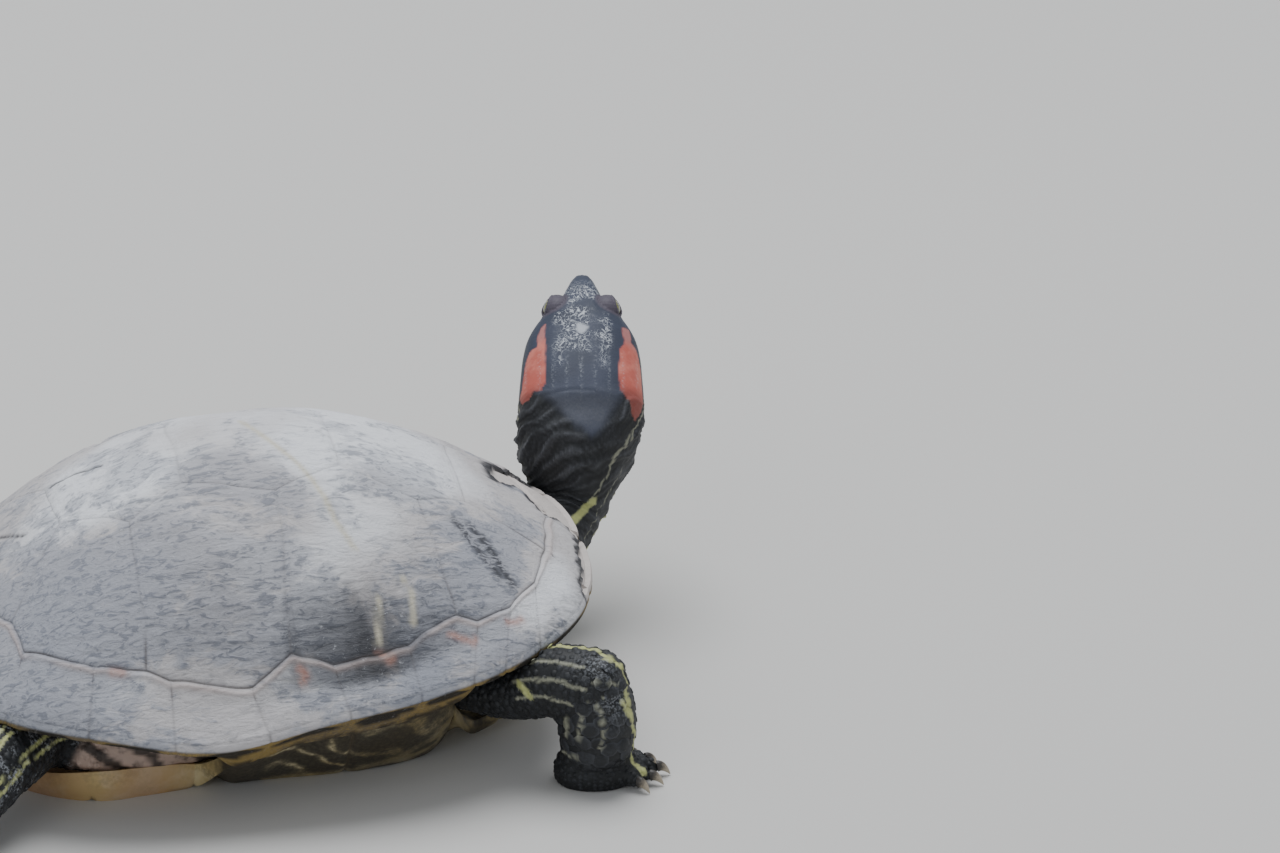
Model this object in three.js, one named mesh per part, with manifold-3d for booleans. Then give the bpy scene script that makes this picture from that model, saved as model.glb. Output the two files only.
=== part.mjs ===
// A basking red-eared slider turtle, life size, as a still museum model.
// Millimetres. +X is the way the shell points, +Y the turtle's left, +Z up.
// The origin lies on the flat of the plastron, where the shell rests on the floor,
// under the middle of the carapace.
import * as THREE from 'three';
import { mergeVertices } from 'three/addons/utils/BufferGeometryUtils.js';
import Module from 'manifold-3d';

const wasm = await Module();
wasm.setup();

// ---------------------------------------------------------------- driving sizes

// The carapace. Plan sizes are fractions of its length, counted from the front rim.
const shell = {
  length: 240,
  pitch: THREE.MathUtils.degToRad(1.1),
  lift: 3,
  halfWidth: 0.40,
  widestAt: 0.575,
  frontRoundness: 2.75,
  rearRoundness: 2.5,
  rimHeight: 0.165,
  rimFrontRise: 0.05,
  rimRearRise: 0.015,
  rimDip: 0.03,
  rimDipAt: 0.6,
  rimDipWidth: 0.13,
  topHeight: 0.44,
  apexAt: 0.475,
  thickness: 4.5,
};
// How fast the dome falls from its apex: the weights of the 2nd and 4th powers of the
// radius, toward the front, the sides and the rear. The 8th power takes the rest.
const domeFall = { front: [1.32, -0.5], side: [0.9, 0.48], rear: [0.95, 0.25] };

// Seam corners of one half of the carapace, as [distance from the front, distance from the keel].
const corner = {
  nuchalRear: [0.055, 0.022],
  m1m2: [0.082, 0.140],
  m2m3: [0.106, 0.212],
  m3m4: [0.154, 0.266],
  m4m5: [0.207, 0.291],
  c1c2: [0.238, 0.288],
  m5m6: [0.314, 0.323],
  m6m7: [0.424, 0.340],
  c2c3: [0.480, 0.320],
  m7m8: [0.546, 0.343],
  m8m9: [0.654, 0.333],
  c3c4: [0.687, 0.321],
  m9m10: [0.763, 0.303],
  m10: [0.805, 0.276],
  m10m11: [0.856, 0.238],
  c4v5: [0.862, 0.182],
  m11m12: [0.905, 0.105],
  m12Rear: [0.925, 0],
  v1v2: [0.187, 0.105],
  v2: [0.262, 0.138],
  v2v3: [0.370, 0.100],
  v3: [0.470, 0.145],
  v3v4: [0.600, 0.105],
  v4: [0.683, 0.140],
  v4v5: [0.780, 0.065],
};
// Where each marginal's front seam meets the rim, from the nuchal to the tail.
const nuchalHalfWidth = 0.017;
const marginalSeamAt = [0, 0.020, 0.118, 0.175, 0.225, 0.305, 0.410, 0.527, 0.662, 0.782, 0.893, 0.968, 1];

// The plastron: seam positions and shapes, along and across as fractions of the shell.
const plastron = {
  thickness: 6,
  edgeFlare: 0.05,
  frontRise: 17,
  riseCurve: 1.25,
  floorFrom: 0.30,
  seams: [0.06, 0.16, 0.24, 0.40, 0.62, 0.77, 0.95],
  names: ['gulars', 'humerals', 'pectorals', 'abdominals', 'femorals', 'anals'],
  rows: [
    0.10, 0.20, 0.28, 0.314, 0.36, 0.424, 0.48, 0.555, 0.59, 0.645, 0.70, 0.745, 0.81, 0.86, 0.91,
  ],
  columns: [-1, -0.84, -0.67, -0.5, -0.2, 0.2, 0.5, 0.67, 0.84, 1],
  wallFrom: 0.5,
  bridge: { starts: 0.195, full: 0.28, ends: 0.56, gone: 0.62 },
  bridgeFlat: 0.235,
  bridgeCurve: 1.25,
  bridgeBelowRim: 15,
  bridgeSetBack: 1.2,
};
// Half width of the lobes, and how far their edge stands over the inner side in millimetres.
const lobeHalfWidth = [
  [0.06, 0.07], [0.10, 0.125], [0.16, 0.165], [0.24, 0.192], [0.34, 0.222], [0.60, 0.235],
  [0.70, 0.250], [0.745, 0.255], [0.81, 0.234], [0.86, 0.195], [0.91, 0.135], [0.95, 0.07],
];
const lobeEdgeRise = [[0.06, 0], [0.56, 0], [0.62, 4.5], [0.70, 6.5], [0.745, 7], [0.86, 3], [0.95, 0]];

// The soft body inside the shell. Its parts are fractions of the way from the dome's apex
// to the rim, its depths are millimetres.
const body = {
  sides: 28,
  top: 0.74,
  frontPull: 0.03,
  bottomSide: 0.53,
  bottomEnd: 0.66,
  floorPull: 0.05,
  floor: 7.8,
  underDome: 6.2,
  edgeStep: 2.5,
  topStep: 1,
  wallLevels: [0.4, 0.75],
  wallHollow: 0.02,
  domeParts: [0.82, 0.6, 0.36],
  crownPart: 0.12,
  meanRadius: 0.42,
};

// The head: place of the centre of its rear end, the way it looks, and sections along it.
const head = {
  base: [129.9, 57, 76.4],
  sides: 16,
  yaw: THREE.MathUtils.degToRad(78.6),
  pitch: THREE.MathUtils.degToRad(33),
  squareness: 2.3,
};
// [distance from the rear, half width, top, bottom]
const headSections = [
  [0, 22, 15.5, -16], [8, 22.4, 16.4, -16.6], [16, 22.2, 16.6, -16.4], [24, 21.6, 16.2, -15.6],
  [32, 19.8, 15.2, -14.4], [39, 17, 13.8, -13], [45, 13.2, 11.8, -11.6], [50, 10, 9.6, -10.4],
  [54.5, 7.4, 7.2, -9.2], [58, 5.2, 4.8, -8], [60, 3, 2.4, -6.6],
];
const eye = { radius: 5, along: 42.5, aside: 9, up: 6.4, sides: 10 };

// The neck leaves the body low in the middle, passes under the front rim on the left and climbs.
const neckPath = [
  [70, 4, 32, 13], [90, 17, 33, 14], [109.5, 37, 33, 14.5], [124, 54, 45, 14.5], [127.8, 58, 61, 20],
  [...head.base, 21],
];
const neckSides = 16;

const tailPath = [
  [-84, 0, 20, 10], [-102, 2, 16, 8.5], [-116, 8, 10, 6.2], [-126, 17, 6, 4.2], [-132, 28, 3.4, 1.8],
];
const tailSides = 10;

// Each limb: an upper part from inside the body to the elbow or knee and a lower part from
// there to the paw, each as [x, y, z, radius], then the paw and its toes.
const limbs = {
  foreleg_right: {
    upper: [[64, -44, 28.8, 11], [82, -62, 31, 11.5], [98, -76, 38, 12.8], [107, -80, 37.5, 13.2]],
    lower: [[107, -80, 37.5, 13.2], [108.5, -81, 25, 13.8], [109, -79.5, 11, 12.3]],
    paw: { at: [109, -78], yaw: -4, length: 15, width: 11.5, height: 11 },
    toes: { count: 5, spread: 80, reach: 21, radius: 3.5, claw: 4.6 },
  },
  foreleg_left: {
    upper: [[64, 43, 29.5, 11], [81, 61, 31.5, 11.5], [92, 79, 29.5, 12], [99, 92, 26, 12.3]],
    lower: [[99, 92, 26, 12.3], [104, 99, 18, 12], [107, 103, 10, 11]],
    paw: { at: [110, 105], yaw: 22, length: 15, width: 11, height: 10 },
    toes: { count: 5, spread: 80, reach: 21, radius: 3.5, claw: 4.6 },
  },
  hindleg_right: {
    upper: [[-66, -36, 23, 12.5], [-84, -53, 23.5, 13], [-98, -71, 24, 14]],
    lower: [[-98, -71, 24, 14], [-110, -87, 19, 12.5], [-119, -97, 10, 10]],
    paw: { at: [-124, -102], yaw: -150, length: 19, width: 15, height: 8.5 },
    toes: { count: 4, spread: 62, reach: 23, radius: 2.8, claw: 6.5 },
  },
  hindleg_left: {
    upper: [[-66, 36, 23, 12.5], [-83, 54, 23.5, 13], [-94, 73, 24, 14]],
    lower: [[-94, 73, 24, 14], [-102, 91, 19, 12.5], [-108, 104, 10, 10]],
    paw: { at: [-111, 109], yaw: 136, length: 19, width: 15, height: 8.5 },
    toes: { count: 4, spread: 62, reach: 23, radius: 2.8, claw: 6.5 },
  },
};
const limbSides = 10;
const toeSides = 5;
const clawThickness = 0.62;

// Space kept between pieces that touch, and the share of it that each edge stands back.
const gap = 0.3;
const seamInset = 0.8;

const colour = {
  dustyShell: 0xa9a6a5,
  dustyRim: 0x9a9aa0,
  plastronYellow: 0xc9ad55,
  skin: 0x1d2022,
  headSkin: 0x262b31,
  eyeball: 0x3b3a1c,
  claw: 0xb9a98a,
};

// ---------------------------------------------------------------- closed meshes

const point = (x, y, z) => new THREE.Vector3(x, y, z);
const lerp = THREE.MathUtils.lerp;
const smooth = THREE.MathUtils.smoothstep;

// A closed mesh from shared vertices and triangles, turned so that its faces point out.
function closedMesh(vertices, triangles) {
  let volume = 0;
  for (const [a, b, c] of triangles) {
    volume += vertices[a].dot(vertices[b].clone().cross(vertices[c]));
  }
  const order = volume < 0 ? ([a, b, c]) => [a, c, b] : (t) => t;
  const geometry = new THREE.BufferGeometry();
  const positions = vertices.flatMap((p) => [p.x, p.y, p.z]);
  geometry.setAttribute('position', new THREE.Float32BufferAttribute(positions, 3));
  geometry.setIndex(triangles.flatMap(order));
  return geometry;
}

// Joins closed rings of equally many points into a solid, with a flat end at each end.
function ringSolid(rings) {
  const n = rings[0].length;
  const vertices = rings.flat();
  const triangles = [];
  for (let i = 0; i + 1 < rings.length; i += 1) {
    for (let j = 0; j < n; j += 1) {
      const a = i * n + j;
      const b = i * n + (j + 1) % n;
      triangles.push([a, b, b + n], [a, b + n, a + n]);
    }
  }
  const last = (rings.length - 1) * n;
  for (const [a, b, c] of flatEnd(rings[0])) {
    triangles.push([a, c, b]);
  }
  for (const [a, b, c] of flatEnd(rings[rings.length - 1])) {
    triangles.push([last + a, last + b, last + c]);
  }
  return closedMesh(vertices, triangles);
}

// Triangles over one flat ring, all in the ring's own order.
function flatEnd(ring) {
  const normal = point(0, 0, 0);
  ring.forEach((p, i) => normal.add(p.clone().cross(ring[(i + 1) % ring.length])));
  normal.normalize();
  const u = point(1, 0, 0).cross(normal);
  if (u.length() < 0.1) u.copy(point(0, 1, 0).cross(normal));
  u.normalize();
  const v = normal.clone().cross(u);
  const flat = ring.map((p) => new THREE.Vector2(p.dot(u), p.dot(v)));
  const faces = THREE.ShapeUtils.triangulateShape(flat, []);
  const turned = THREE.ShapeUtils.isClockWise(flat);
  return turned ? faces.map(([a, b, c]) => [a, c, b]) : faces;
}

// Joins an outer and an inner grid of points by walls along their edges.
function plateSolid(outer, inner) {
  const rows = outer.length;
  const columns = outer[0].length;
  const vertices = [...outer.flat(), ...inner.flat()];
  const half = rows * columns;
  const at = (i, j) => i * columns + j;
  const triangles = [];
  for (let i = 0; i + 1 < rows; i += 1) {
    for (let j = 0; j + 1 < columns; j += 1) {
      const [a, b, c, d] = [at(i, j), at(i, j + 1), at(i + 1, j + 1), at(i + 1, j)];
      triangles.push([a, b, c], [a, c, d]);
      triangles.push([half + a, half + c, half + b], [half + a, half + d, half + c]);
    }
  }
  const edge = [];
  for (let j = 0; j + 1 < columns; j += 1) edge.push(at(0, j));
  for (let i = 0; i + 1 < rows; i += 1) edge.push(at(i, columns - 1));
  for (let j = columns - 1; j > 0; j -= 1) edge.push(at(rows - 1, j));
  for (let i = rows - 1; i > 0; i -= 1) edge.push(at(i, 0));
  edge.forEach((a, k) => {
    const b = edge[(k + 1) % edge.length];
    triangles.push([a, half + a, half + b], [a, half + b, b]);
  });
  return closedMesh(vertices, triangles);
}

function toManifold(geometry) {
  const bare = geometry.clone();
  bare.deleteAttribute('normal');
  bare.deleteAttribute('uv');
  const merged = mergeVertices(bare, 1e-4);
  return new wasm.Manifold(new wasm.Mesh({
    numProp: 3,
    vertProperties: new Float32Array(merged.getAttribute('position').array),
    triVerts: new Uint32Array(merged.getIndex().array),
  }));
}

function fromManifold(solid) {
  const mesh = solid.getMesh();
  const geometry = new THREE.BufferGeometry();
  geometry.setAttribute('position', new THREE.BufferAttribute(mesh.vertProperties, 3));
  geometry.setIndex(new THREE.BufferAttribute(mesh.triVerts, 1));
  return geometry;
}

// ---------------------------------------------------------------- shell surface

// A point on the shell's outline: turn 0 is the front of the keel, 1 its rear.
function outlineAt(turn) {
  const angle = turn * Math.PI;
  const roundness = Math.cos(angle) > 0 ? shell.frontRoundness : shell.rearRoundness;
  const reach = Math.abs(Math.cos(angle)) ** (2 / roundness);
  const aside = shell.halfWidth * Math.sin(angle) ** (2 / roundness);
  const along = Math.cos(angle) > 0
    ? shell.widestAt * (1 - reach)
    : shell.widestAt + (1 - shell.widestAt) * reach;
  return [along, aside];
}

// The outline's half width at a given distance from the front.
function outlineHalfWidth(along) {
  const before = along < shell.widestAt;
  const span = before ? shell.widestAt : 1 - shell.widestAt;
  const roundness = before ? shell.frontRoundness : shell.rearRoundness;
  const part = Math.min(1, Math.abs(along - shell.widestAt) / span);
  return shell.halfWidth * (1 - part ** roundness) ** (1 / roundness);
}

function rimHeightAt(along) {
  const front = Math.max(0, 1 - along / 0.5);
  const rear = Math.max(0, (along - 0.6) / 0.4);
  const dip = Math.exp(-(((along - shell.rimDipAt) / shell.rimDipWidth) ** 2));
  return shell.rimHeight + shell.rimFrontRise * front ** 2 + shell.rimRearRise * rear ** 2
    - shell.rimDip * dip;
}

// The part of the way from the dome's apex to the rim, and the rim point beyond.
function radiusAt(along, aside) {
  const angle = Math.atan2(Math.abs(aside), shell.apexAt - along);
  let low = 0;
  let high = 1;
  for (let step = 0; step < 40; step += 1) {
    const middle = (low + high) / 2;
    const [f, y] = outlineAt(middle);
    if (Math.atan2(y, shell.apexAt - f) < angle) low = middle;
    else high = middle;
  }
  const [f, y] = outlineAt(low);
  const part = Math.hypot(along - shell.apexAt, aside) / Math.hypot(f - shell.apexAt, y);
  return { part, rimAlong: f };
}

// Height of the dome over the plastron, as a fraction of the shell's length.
function domeHeight(along, aside) {
  const { part, rimAlong } = radiusAt(along, aside);
  const ahead = shell.apexAt - along;
  const reach = Math.hypot(ahead, aside) || 1;
  const endWeight = (ahead / reach) ** 2;
  const end = ahead > 0 ? domeFall.front : domeFall.rear;
  const second = lerp(domeFall.side[0], end[0], endWeight);
  const fourth = lerp(domeFall.side[1], end[1], endWeight);
  const eighth = 1 - second - fourth;
  const fall = second * part ** 2 + fourth * part ** 4 + eighth * part ** 8;
  const rim = rimHeightAt(rimAlong);
  return rim + (shell.topHeight - rim) * (1 - fall);
}

// From shell fractions to millimetres in the part's frame, with the shell's pitch.
function place(along, aside, height) {
  const x = (0.5 - along) * shell.length;
  const z = height * shell.length;
  const { pitch } = shell;
  return point(
    x * Math.cos(pitch) - z * Math.sin(pitch),
    aside * shell.length,
    x * Math.sin(pitch) + z * Math.cos(pitch) + shell.lift,
  );
}

// ---------------------------------------------------------------- carapace plates

const mirrored = (corners) => corners.map(([along, aside]) => [along, -aside]);

// A point on a line through corners that are spread evenly over 0 to 1.
function onLine(corners, u) {
  const steps = corners.length - 1;
  const i = Math.min(steps - 1, Math.floor(u * steps + 1e-9));
  const part = u * steps - i;
  return [
    lerp(corners[i][0], corners[i + 1][0], part),
    lerp(corners[i][1], corners[i + 1][1], part),
  ];
}

// Even parameter values that hit every corner of two lines.
function sharedSteps(first, second) {
  const [a, b] = [first.length - 1, second.length - 1];
  let steps = a;
  while (steps % b !== 0 || steps < 4) steps += a;
  return Array.from({ length: steps + 1 }, (_, i) => i / steps);
}

const chord = (line) => shell.length * Math.hypot(line[0][0] - line.at(-1)[0], line[0][1] - line.at(-1)[1]);

// One plate between four seams. Its edges stand back by half the gap.
function shellPlate(inner, outer, front, rear) {
  const insetAlong = (seamInset * gap) / Math.min(chord(inner), chord(outer));
  const insetAcross = (seamInset * gap) / Math.min(chord(front), chord(rear));
  const setBack = (value, inset) => Math.min(1 - inset, Math.max(inset, value));
  const at = (u, v) => {
    const [i, o, f, r] = [onLine(inner, u), onLine(outer, u), onLine(front, v), onLine(rear, v)];
    return [0, 1].map((k) => (1 - v) * i[k] + v * o[k] + (1 - u) * f[k] + u * r[k]
      - (1 - u) * (1 - v) * inner[0][k] - (1 - u) * v * outer[0][k]
      - u * (1 - v) * inner.at(-1)[k] - u * v * outer.at(-1)[k]);
  };
  const grid = (depth) => sharedSteps(inner, outer).map((u) => sharedSteps(front, rear).map((v) => {
    const [f, y] = at(setBack(u, insetAlong), setBack(v, insetAcross));
    return place(f, y, domeHeight(f, y) - depth / shell.length);
  }));
  return plateSolid(grid(0), grid(shell.thickness));
}

// Vertebral plates run from their right seam to their left one.
function vertebralPlate(side, front, rear) {
  return shellPlate(mirrored(side), side, front, rear);
}

function carapacePlates() {
  const c = corner;
  const across = (from) => [[from[0], -from[1]], from];
  const frontOfV1 = [[c.m1m2[0], -c.m1m2[1]], [c.nuchalRear[0], -c.nuchalRear[1]], c.nuchalRear, c.m1m2];
  const rearOfV5 = [[c.c4v5[0], -c.c4v5[1]], [c.m11m12[0], -c.m11m12[1]], c.m12Rear, c.m11m12, c.c4v5];
  const nuchalFront = [outlineAlong(nuchalHalfWidth), nuchalHalfWidth];
  const nuchalSide = [nuchalFront, c.nuchalRear];
  const plates = {
    nuchal: vertebralPlate(nuchalSide, across(nuchalFront), across(c.nuchalRear)),
    vertebral_1: vertebralPlate([c.m1m2, c.v1v2], frontOfV1, across(c.v1v2)),
    vertebral_2: vertebralPlate([c.v1v2, c.v2, c.v2v3], across(c.v1v2), across(c.v2v3)),
    vertebral_3: vertebralPlate([c.v2v3, c.v3, c.v3v4], across(c.v2v3), across(c.v3v4)),
    vertebral_4: vertebralPlate([c.v3v4, c.v4, c.v4v5], across(c.v3v4), across(c.v4v5)),
    vertebral_5: vertebralPlate([c.v4v5, c.c4v5], across(c.v4v5), rearOfV5),
  };
  const costals = [
    { inner: [c.m1m2, c.v1v2, c.v2], outer: [c.m2m3, c.m3m4, c.m4m5, c.c1c2] },
    { inner: [c.v2, c.v2v3, c.v3], outer: [c.c1c2, c.m5m6, c.m6m7, c.c2c3] },
    { inner: [c.v3, c.v3v4, c.v4], outer: [c.c2c3, c.m7m8, c.m8m9, c.c3c4] },
    { inner: [c.v4, c.v4v5], outer: [c.c3c4, c.m9m10, c.m10, c.m10m11, c.c4v5] },
  ];
  costals.forEach(({ inner, outer }, i) => {
    const front = [inner[0], outer[0]];
    const rear = [inner.at(-1), outer.at(-1)];
    plates[`costal_left_${i + 1}`] = shellPlate(inner, outer, front, rear);
    plates[`costal_right_${i + 1}`] = shellPlate(...[inner, outer, front, rear].map(mirrored));
  });
  return plates;
}

// Distance from the front at which the front outline has a given half width.
function outlineAlong(halfWidth) {
  const part = (1 - (halfWidth / shell.halfWidth) ** shell.frontRoundness) ** (1 / shell.frontRoundness);
  return shell.widestAt * (1 - part);
}

// ---------------------------------------------------------------- marginal rim

// The inner seam of each marginal, from its front corner to its rear one.
const marginalInner = [
  [corner.nuchalRear, corner.m1m2],
  [corner.m1m2, corner.m2m3],
  [corner.m2m3, corner.m3m4],
  [corner.m3m4, corner.m4m5],
  [corner.m4m5, corner.c1c2, corner.m5m6],
  [corner.m5m6, corner.m6m7],
  [corner.m6m7, corner.c2c3, corner.m7m8],
  [corner.m7m8, corner.m8m9],
  [corner.m8m9, corner.c3c4, corner.m9m10],
  [corner.m9m10, corner.m10, corner.m10m11],
  [corner.m10m11, corner.c4v5, corner.m11m12],
  [corner.m11m12, corner.m12Rear],
];
// Part is the way from the inner seam to the outline, depth is millimetres under the rim.
const rim = {
  shoulderPart: 0.93,
  edgeDrop: 2.2,
  lipDepth: 4.6,
  lipPart: 0.92,
  underPart: 0.38,
  underDepth: 3.4,
  bridgePart: 0.02,
  plateLength: 20,
};

// How far the underside belongs to the bridge: 1 along it, 0 at the legs.
function bridgeShare(along) {
  const { starts, full, ends, gone } = plastron.bridge;
  return smooth(along, starts, full) * (1 - smooth(along, ends, gone));
}

// The closed section of the rim between its inner seam and the outline.
function rimSection(innerPoint, rimPoint) {
  const at = (part) => [lerp(innerPoint[0], rimPoint[0], part), lerp(innerPoint[1], rimPoint[1], part)];
  const low = rimHeightAt(rimPoint[0]);
  const share = bridgeShare(rimPoint[0]);
  const under = lerp(rim.underDepth, plastron.bridgeBelowRim, share);
  const deep = (part, drop) => place(...at(part), low - drop / shell.length);
  const top = (part, drop = 0) => place(...at(part), domeHeight(...at(part)) - drop / shell.length);
  return [
    top(0),
    top(0.5),
    top(rim.shoulderPart),
    deep(1, rim.edgeDrop),
    deep(rim.lipPart, rim.lipDepth),
    deep(lerp(rim.underPart, rim.bridgePart, share), under),
    top(0, shell.thickness),
  ];
}

// Distance from the front at which the rear outline has a given half width.
function rearOutlineAlong(halfWidth) {
  const part = (1 - (halfWidth / shell.halfWidth) ** shell.rearRoundness) ** (1 / shell.rearRoundness);
  return shell.widestAt + (1 - shell.widestAt) * part;
}

// The point of the outline a given part of the way along one marginal.
function marginalRimPoint(index, part) {
  if (index === 0) {
    const aside = lerp(nuchalHalfWidth, outlineHalfWidth(marginalSeamAt[1]), part);
    return [outlineAlong(aside), aside];
  }
  if (index === marginalInner.length - 1) {
    const aside = lerp(outlineHalfWidth(marginalSeamAt[index]), 0, part);
    return [rearOutlineAlong(aside), aside];
  }
  const along = lerp(marginalSeamAt[index], marginalSeamAt[index + 1], part);
  return [along, outlineHalfWidth(along)];
}

// A run of marginals on one side, from number first to number last, as one solid. Its ends
// and its inner edge stand back by half the gap.
function marginalRun(first, last, side) {
  const sections = [];
  const endInset = (seamInset * gap) / rim.plateLength;
  for (let k = first; k < last; k += 1) {
    const inner = marginalInner[k];
    const steps = inner.length > 2 ? 4 : 3;
    for (let i = k > first ? 1 : 0; i <= steps; i += 1) {
      const startShift = k === first && i === 0 ? endInset : 0;
      const endShift = k === last - 1 && i === steps ? endInset : 0;
      const part = i / steps + startShift - endShift;
      const [rimAlong, rimAside] = marginalRimPoint(k, part);
      const [along, aside] = onLine(inner, part);
      const width = shell.length * Math.hypot(rimAlong - along, rimAside - aside);
      const back = (seamInset * gap) / width;
      const seam = [lerp(along, rimAlong, back), side * lerp(aside, rimAside, back)];
      sections.push(rimSection(seam, [rimAlong, side * rimAside]));
    }
  }
  return ringSolid(sections);
}

const marginalRuns = { front: [0, 4], bridge: [4, 8], rear: [8, 12] };

// ---------------------------------------------------------------- plastron

function interpolate(table, value) {
  const i = Math.max(0, Math.min(table.length - 2, table.findIndex(([x]) => x > value) - 1));
  const [[x0, y0], [x1, y1]] = [table[i], table[i + 1]];
  return lerp(y0, y1, THREE.MathUtils.clamp((value - x0) / (x1 - x0), 0, 1));
}

const bridgeSeam = [
  corner.m3m4, corner.m4m5, corner.c1c2, corner.m5m6, corner.m6m7, corner.c2c3, corner.m7m8,
  corner.m8m9, corner.c3c4, corner.m9m10,
];

// The underside of the plastron: flat on the floor behind, rising to the front.
function plastronBottom(along) {
  const rise = Math.max(0, plastron.floorFrom - along) / plastron.floorFrom;
  return plastron.frontRise * rise ** plastron.riseCurve;
}

// Where the bridge meets the underside of the marginals.
function bridgeEdge(along) {
  const low = rimHeightAt(along) - plastron.bridgeBelowRim / shell.length;
  const edge = place(along, interpolate(bridgeSeam, along), low);
  return { y: edge.y - plastron.bridgeSetBack, z: edge.z };
}

// One row of points across the plastron: the outer (lower) and the inner (upper) side.
function plastronRow(along) {
  const share = bridgeShare(along);
  const base = plastronBottom(along);
  const x = (0.5 - along) * shell.length;
  const lobe = interpolate(lobeHalfWidth, along) * shell.length;
  const flat = Math.min(lobe, plastron.bridgeFlat * shell.length);
  const edge = bridgeEdge(along);
  const reach = lerp(lobe, edge.y, share);
  const top = lerp(base, edge.z, share);
  const rise = interpolate(lobeEdgeRise, along) * (1 - share);
  const knee = lerp(reach * plastron.wallFrom, flat, share);
  const outer = plastron.columns.map((v) => {
    const part = Math.max(0, (Math.abs(v) - plastron.wallFrom) / (1 - plastron.wallFrom));
    const aside = lerp(knee * Math.min(1, Math.abs(v) / plastron.wallFrom), reach, part);
    return point(x, Math.sign(v) * aside, base + (top - base) * part ** plastron.bridgeCurve);
  });
  const inner = outer.map((p, i) => {
    const onEdge = Math.abs(plastron.columns[i]) === 1 ? 1 - share : 0;
    return point(x, p.y * (1 + plastron.edgeFlare * onEdge), p.z + plastron.thickness + rise * onEdge);
  });
  return { outer, inner };
}

function plastronPlates() {
  const plates = {};
  const inset = gap / 2 / shell.length;
  plastron.names.forEach((name, i) => {
    const from = plastron.seams[i] + inset;
    const to = plastron.seams[i + 1] - inset;
    const between = plastron.rows.filter((along) => along > from + 0.01 && along < to - 0.01);
    const rows = [from, ...between, to].map(plastronRow);
    plates[`plastron_${name}`] = plateSolid(rows.map((row) => row.outer), rows.map((row) => row.inner));
  });
  return plates;
}

// ---------------------------------------------------------------- soft body

// The trunk, as rings around the shell's upright middle line from the floor to the dome.
function trunkGeometry(grow) {
  const ring = (partOf, heightOf) => Array.from({ length: body.sides }, (_, i) => {
    const turn = (2 * i) / body.sides;
    const side = turn <= 1 ? 1 : -1;
    const [along, aside] = outlineAt(turn <= 1 ? turn : 2 - turn);
    const endShare = Math.cos(turn * Math.PI) ** 2;
    const part = partOf(endShare) + grow / (shell.length * body.meanRadius);
    return heightOf(lerp(shell.apexAt, along, part), side * aside * part);
  });
  const depth = (body.underDome - grow) / shell.length;
  const top = (endShare) => body.top - body.frontPull * endShare;
  const bottom = (endShare) => lerp(body.bottomSide, body.bottomEnd, endShare);
  const underDome = (f, y) => place(f, y, domeHeight(f, y) - depth);
  const onFloor = (lift) => (f, y) => point(
    (0.5 - f) * shell.length,
    y * shell.length,
    body.floor - grow + plastronBottom(f) + lift,
  );
  const wall = (level) => ring(
    (endShare) => lerp(bottom(endShare), top(endShare), level ** 0.8)
      - body.wallHollow * Math.sin(level * Math.PI),
    (f, y) => {
      const high = underDome(f, y);
      return high.setZ(lerp(onFloor(body.edgeStep)(f, y).z, high.z, level));
    },
  );
  return ringSolid([
    ring((endShare) => bottom(endShare) - body.floorPull, onFloor(0)),
    ring(bottom, onFloor(body.edgeStep)),
    ...body.wallLevels.map(wall),
    ring(top, (f, y) => underDome(f, y).add(point(0, 0, -body.topStep))),
    ...body.domeParts.map((share) => ring((endShare) => top(endShare) * share, underDome)),
    ring(() => body.crownPart, (f, y) => place(f, y, shell.topHeight - depth - body.topStep / shell.length)),
  ]);
}

// A closed section square to a direction: width to each side, then reach up and down.
function sectionRing({ centre, direction, size, sides, squareness = 2, aside = null }) {
  const side = aside ? aside.clone() : point(0, 0, 1).cross(direction);
  side.addScaledVector(direction, -side.dot(direction)).normalize();
  const up = direction.clone().cross(side);
  const round = (v) => Math.sign(v) * Math.abs(v) ** (2 / squareness);
  return Array.from({ length: sides }, (_, k) => {
    const angle = (2 * Math.PI * k) / sides;
    const [c, s] = [Math.cos(angle), Math.sin(angle)];
    return centre.clone()
      .addScaledVector(side, size.half * round(c))
      .addScaledVector(up, (s > 0 ? size.top : size.bottom) * round(s));
  });
}

const evenSize = (radius) => ({ half: radius, top: radius, bottom: radius });

// Rings of a round tube through [x, y, z, radius] points. The rings lean over to the end
// direction where one is given.
function tubeRings(path, { sides, aside = null, endDirection = null }) {
  const curve = new THREE.CatmullRomCurve3(path.map(([x, y, z]) => point(x, y, z)), false, 'centripetal');
  const spans = path.length - 1;
  const steps = spans * 2;
  return Array.from({ length: steps + 1 }, (_, i) => {
    const t = i / steps;
    const span = Math.min(spans - 1, Math.floor(t * spans));
    const radius = lerp(path[span][3], path[span + 1][3], t * spans - span);
    const direction = curve.getTangent(t);
    if (endDirection) direction.lerp(endDirection, smooth(t, 0.55, 1)).normalize();
    return sectionRing({ centre: curve.getPoint(t), direction, size: evenSize(radius), sides, aside });
  });
}

const headDirection = point(
  Math.cos(head.pitch) * Math.cos(head.yaw),
  Math.cos(head.pitch) * Math.sin(head.yaw),
  Math.sin(head.pitch),
);

const headBase = point(...head.base);
const headAside = point(0, 0, 1).cross(headDirection).normalize();
const headUp = headDirection.clone().cross(headAside);

function headRing([along, half, top, bottom], sides) {
  return sectionRing({
    centre: headBase.clone().addScaledVector(headDirection, along),
    direction: headDirection,
    size: { half, top, bottom: -bottom },
    sides,
    squareness: head.squareness,
  });
}

function ball(centre, radius, sides) {
  const geometry = new THREE.SphereGeometry(radius, sides, sides - 4);
  geometry.translate(centre.x, centre.y, centre.z);
  return geometry;
}

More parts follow.
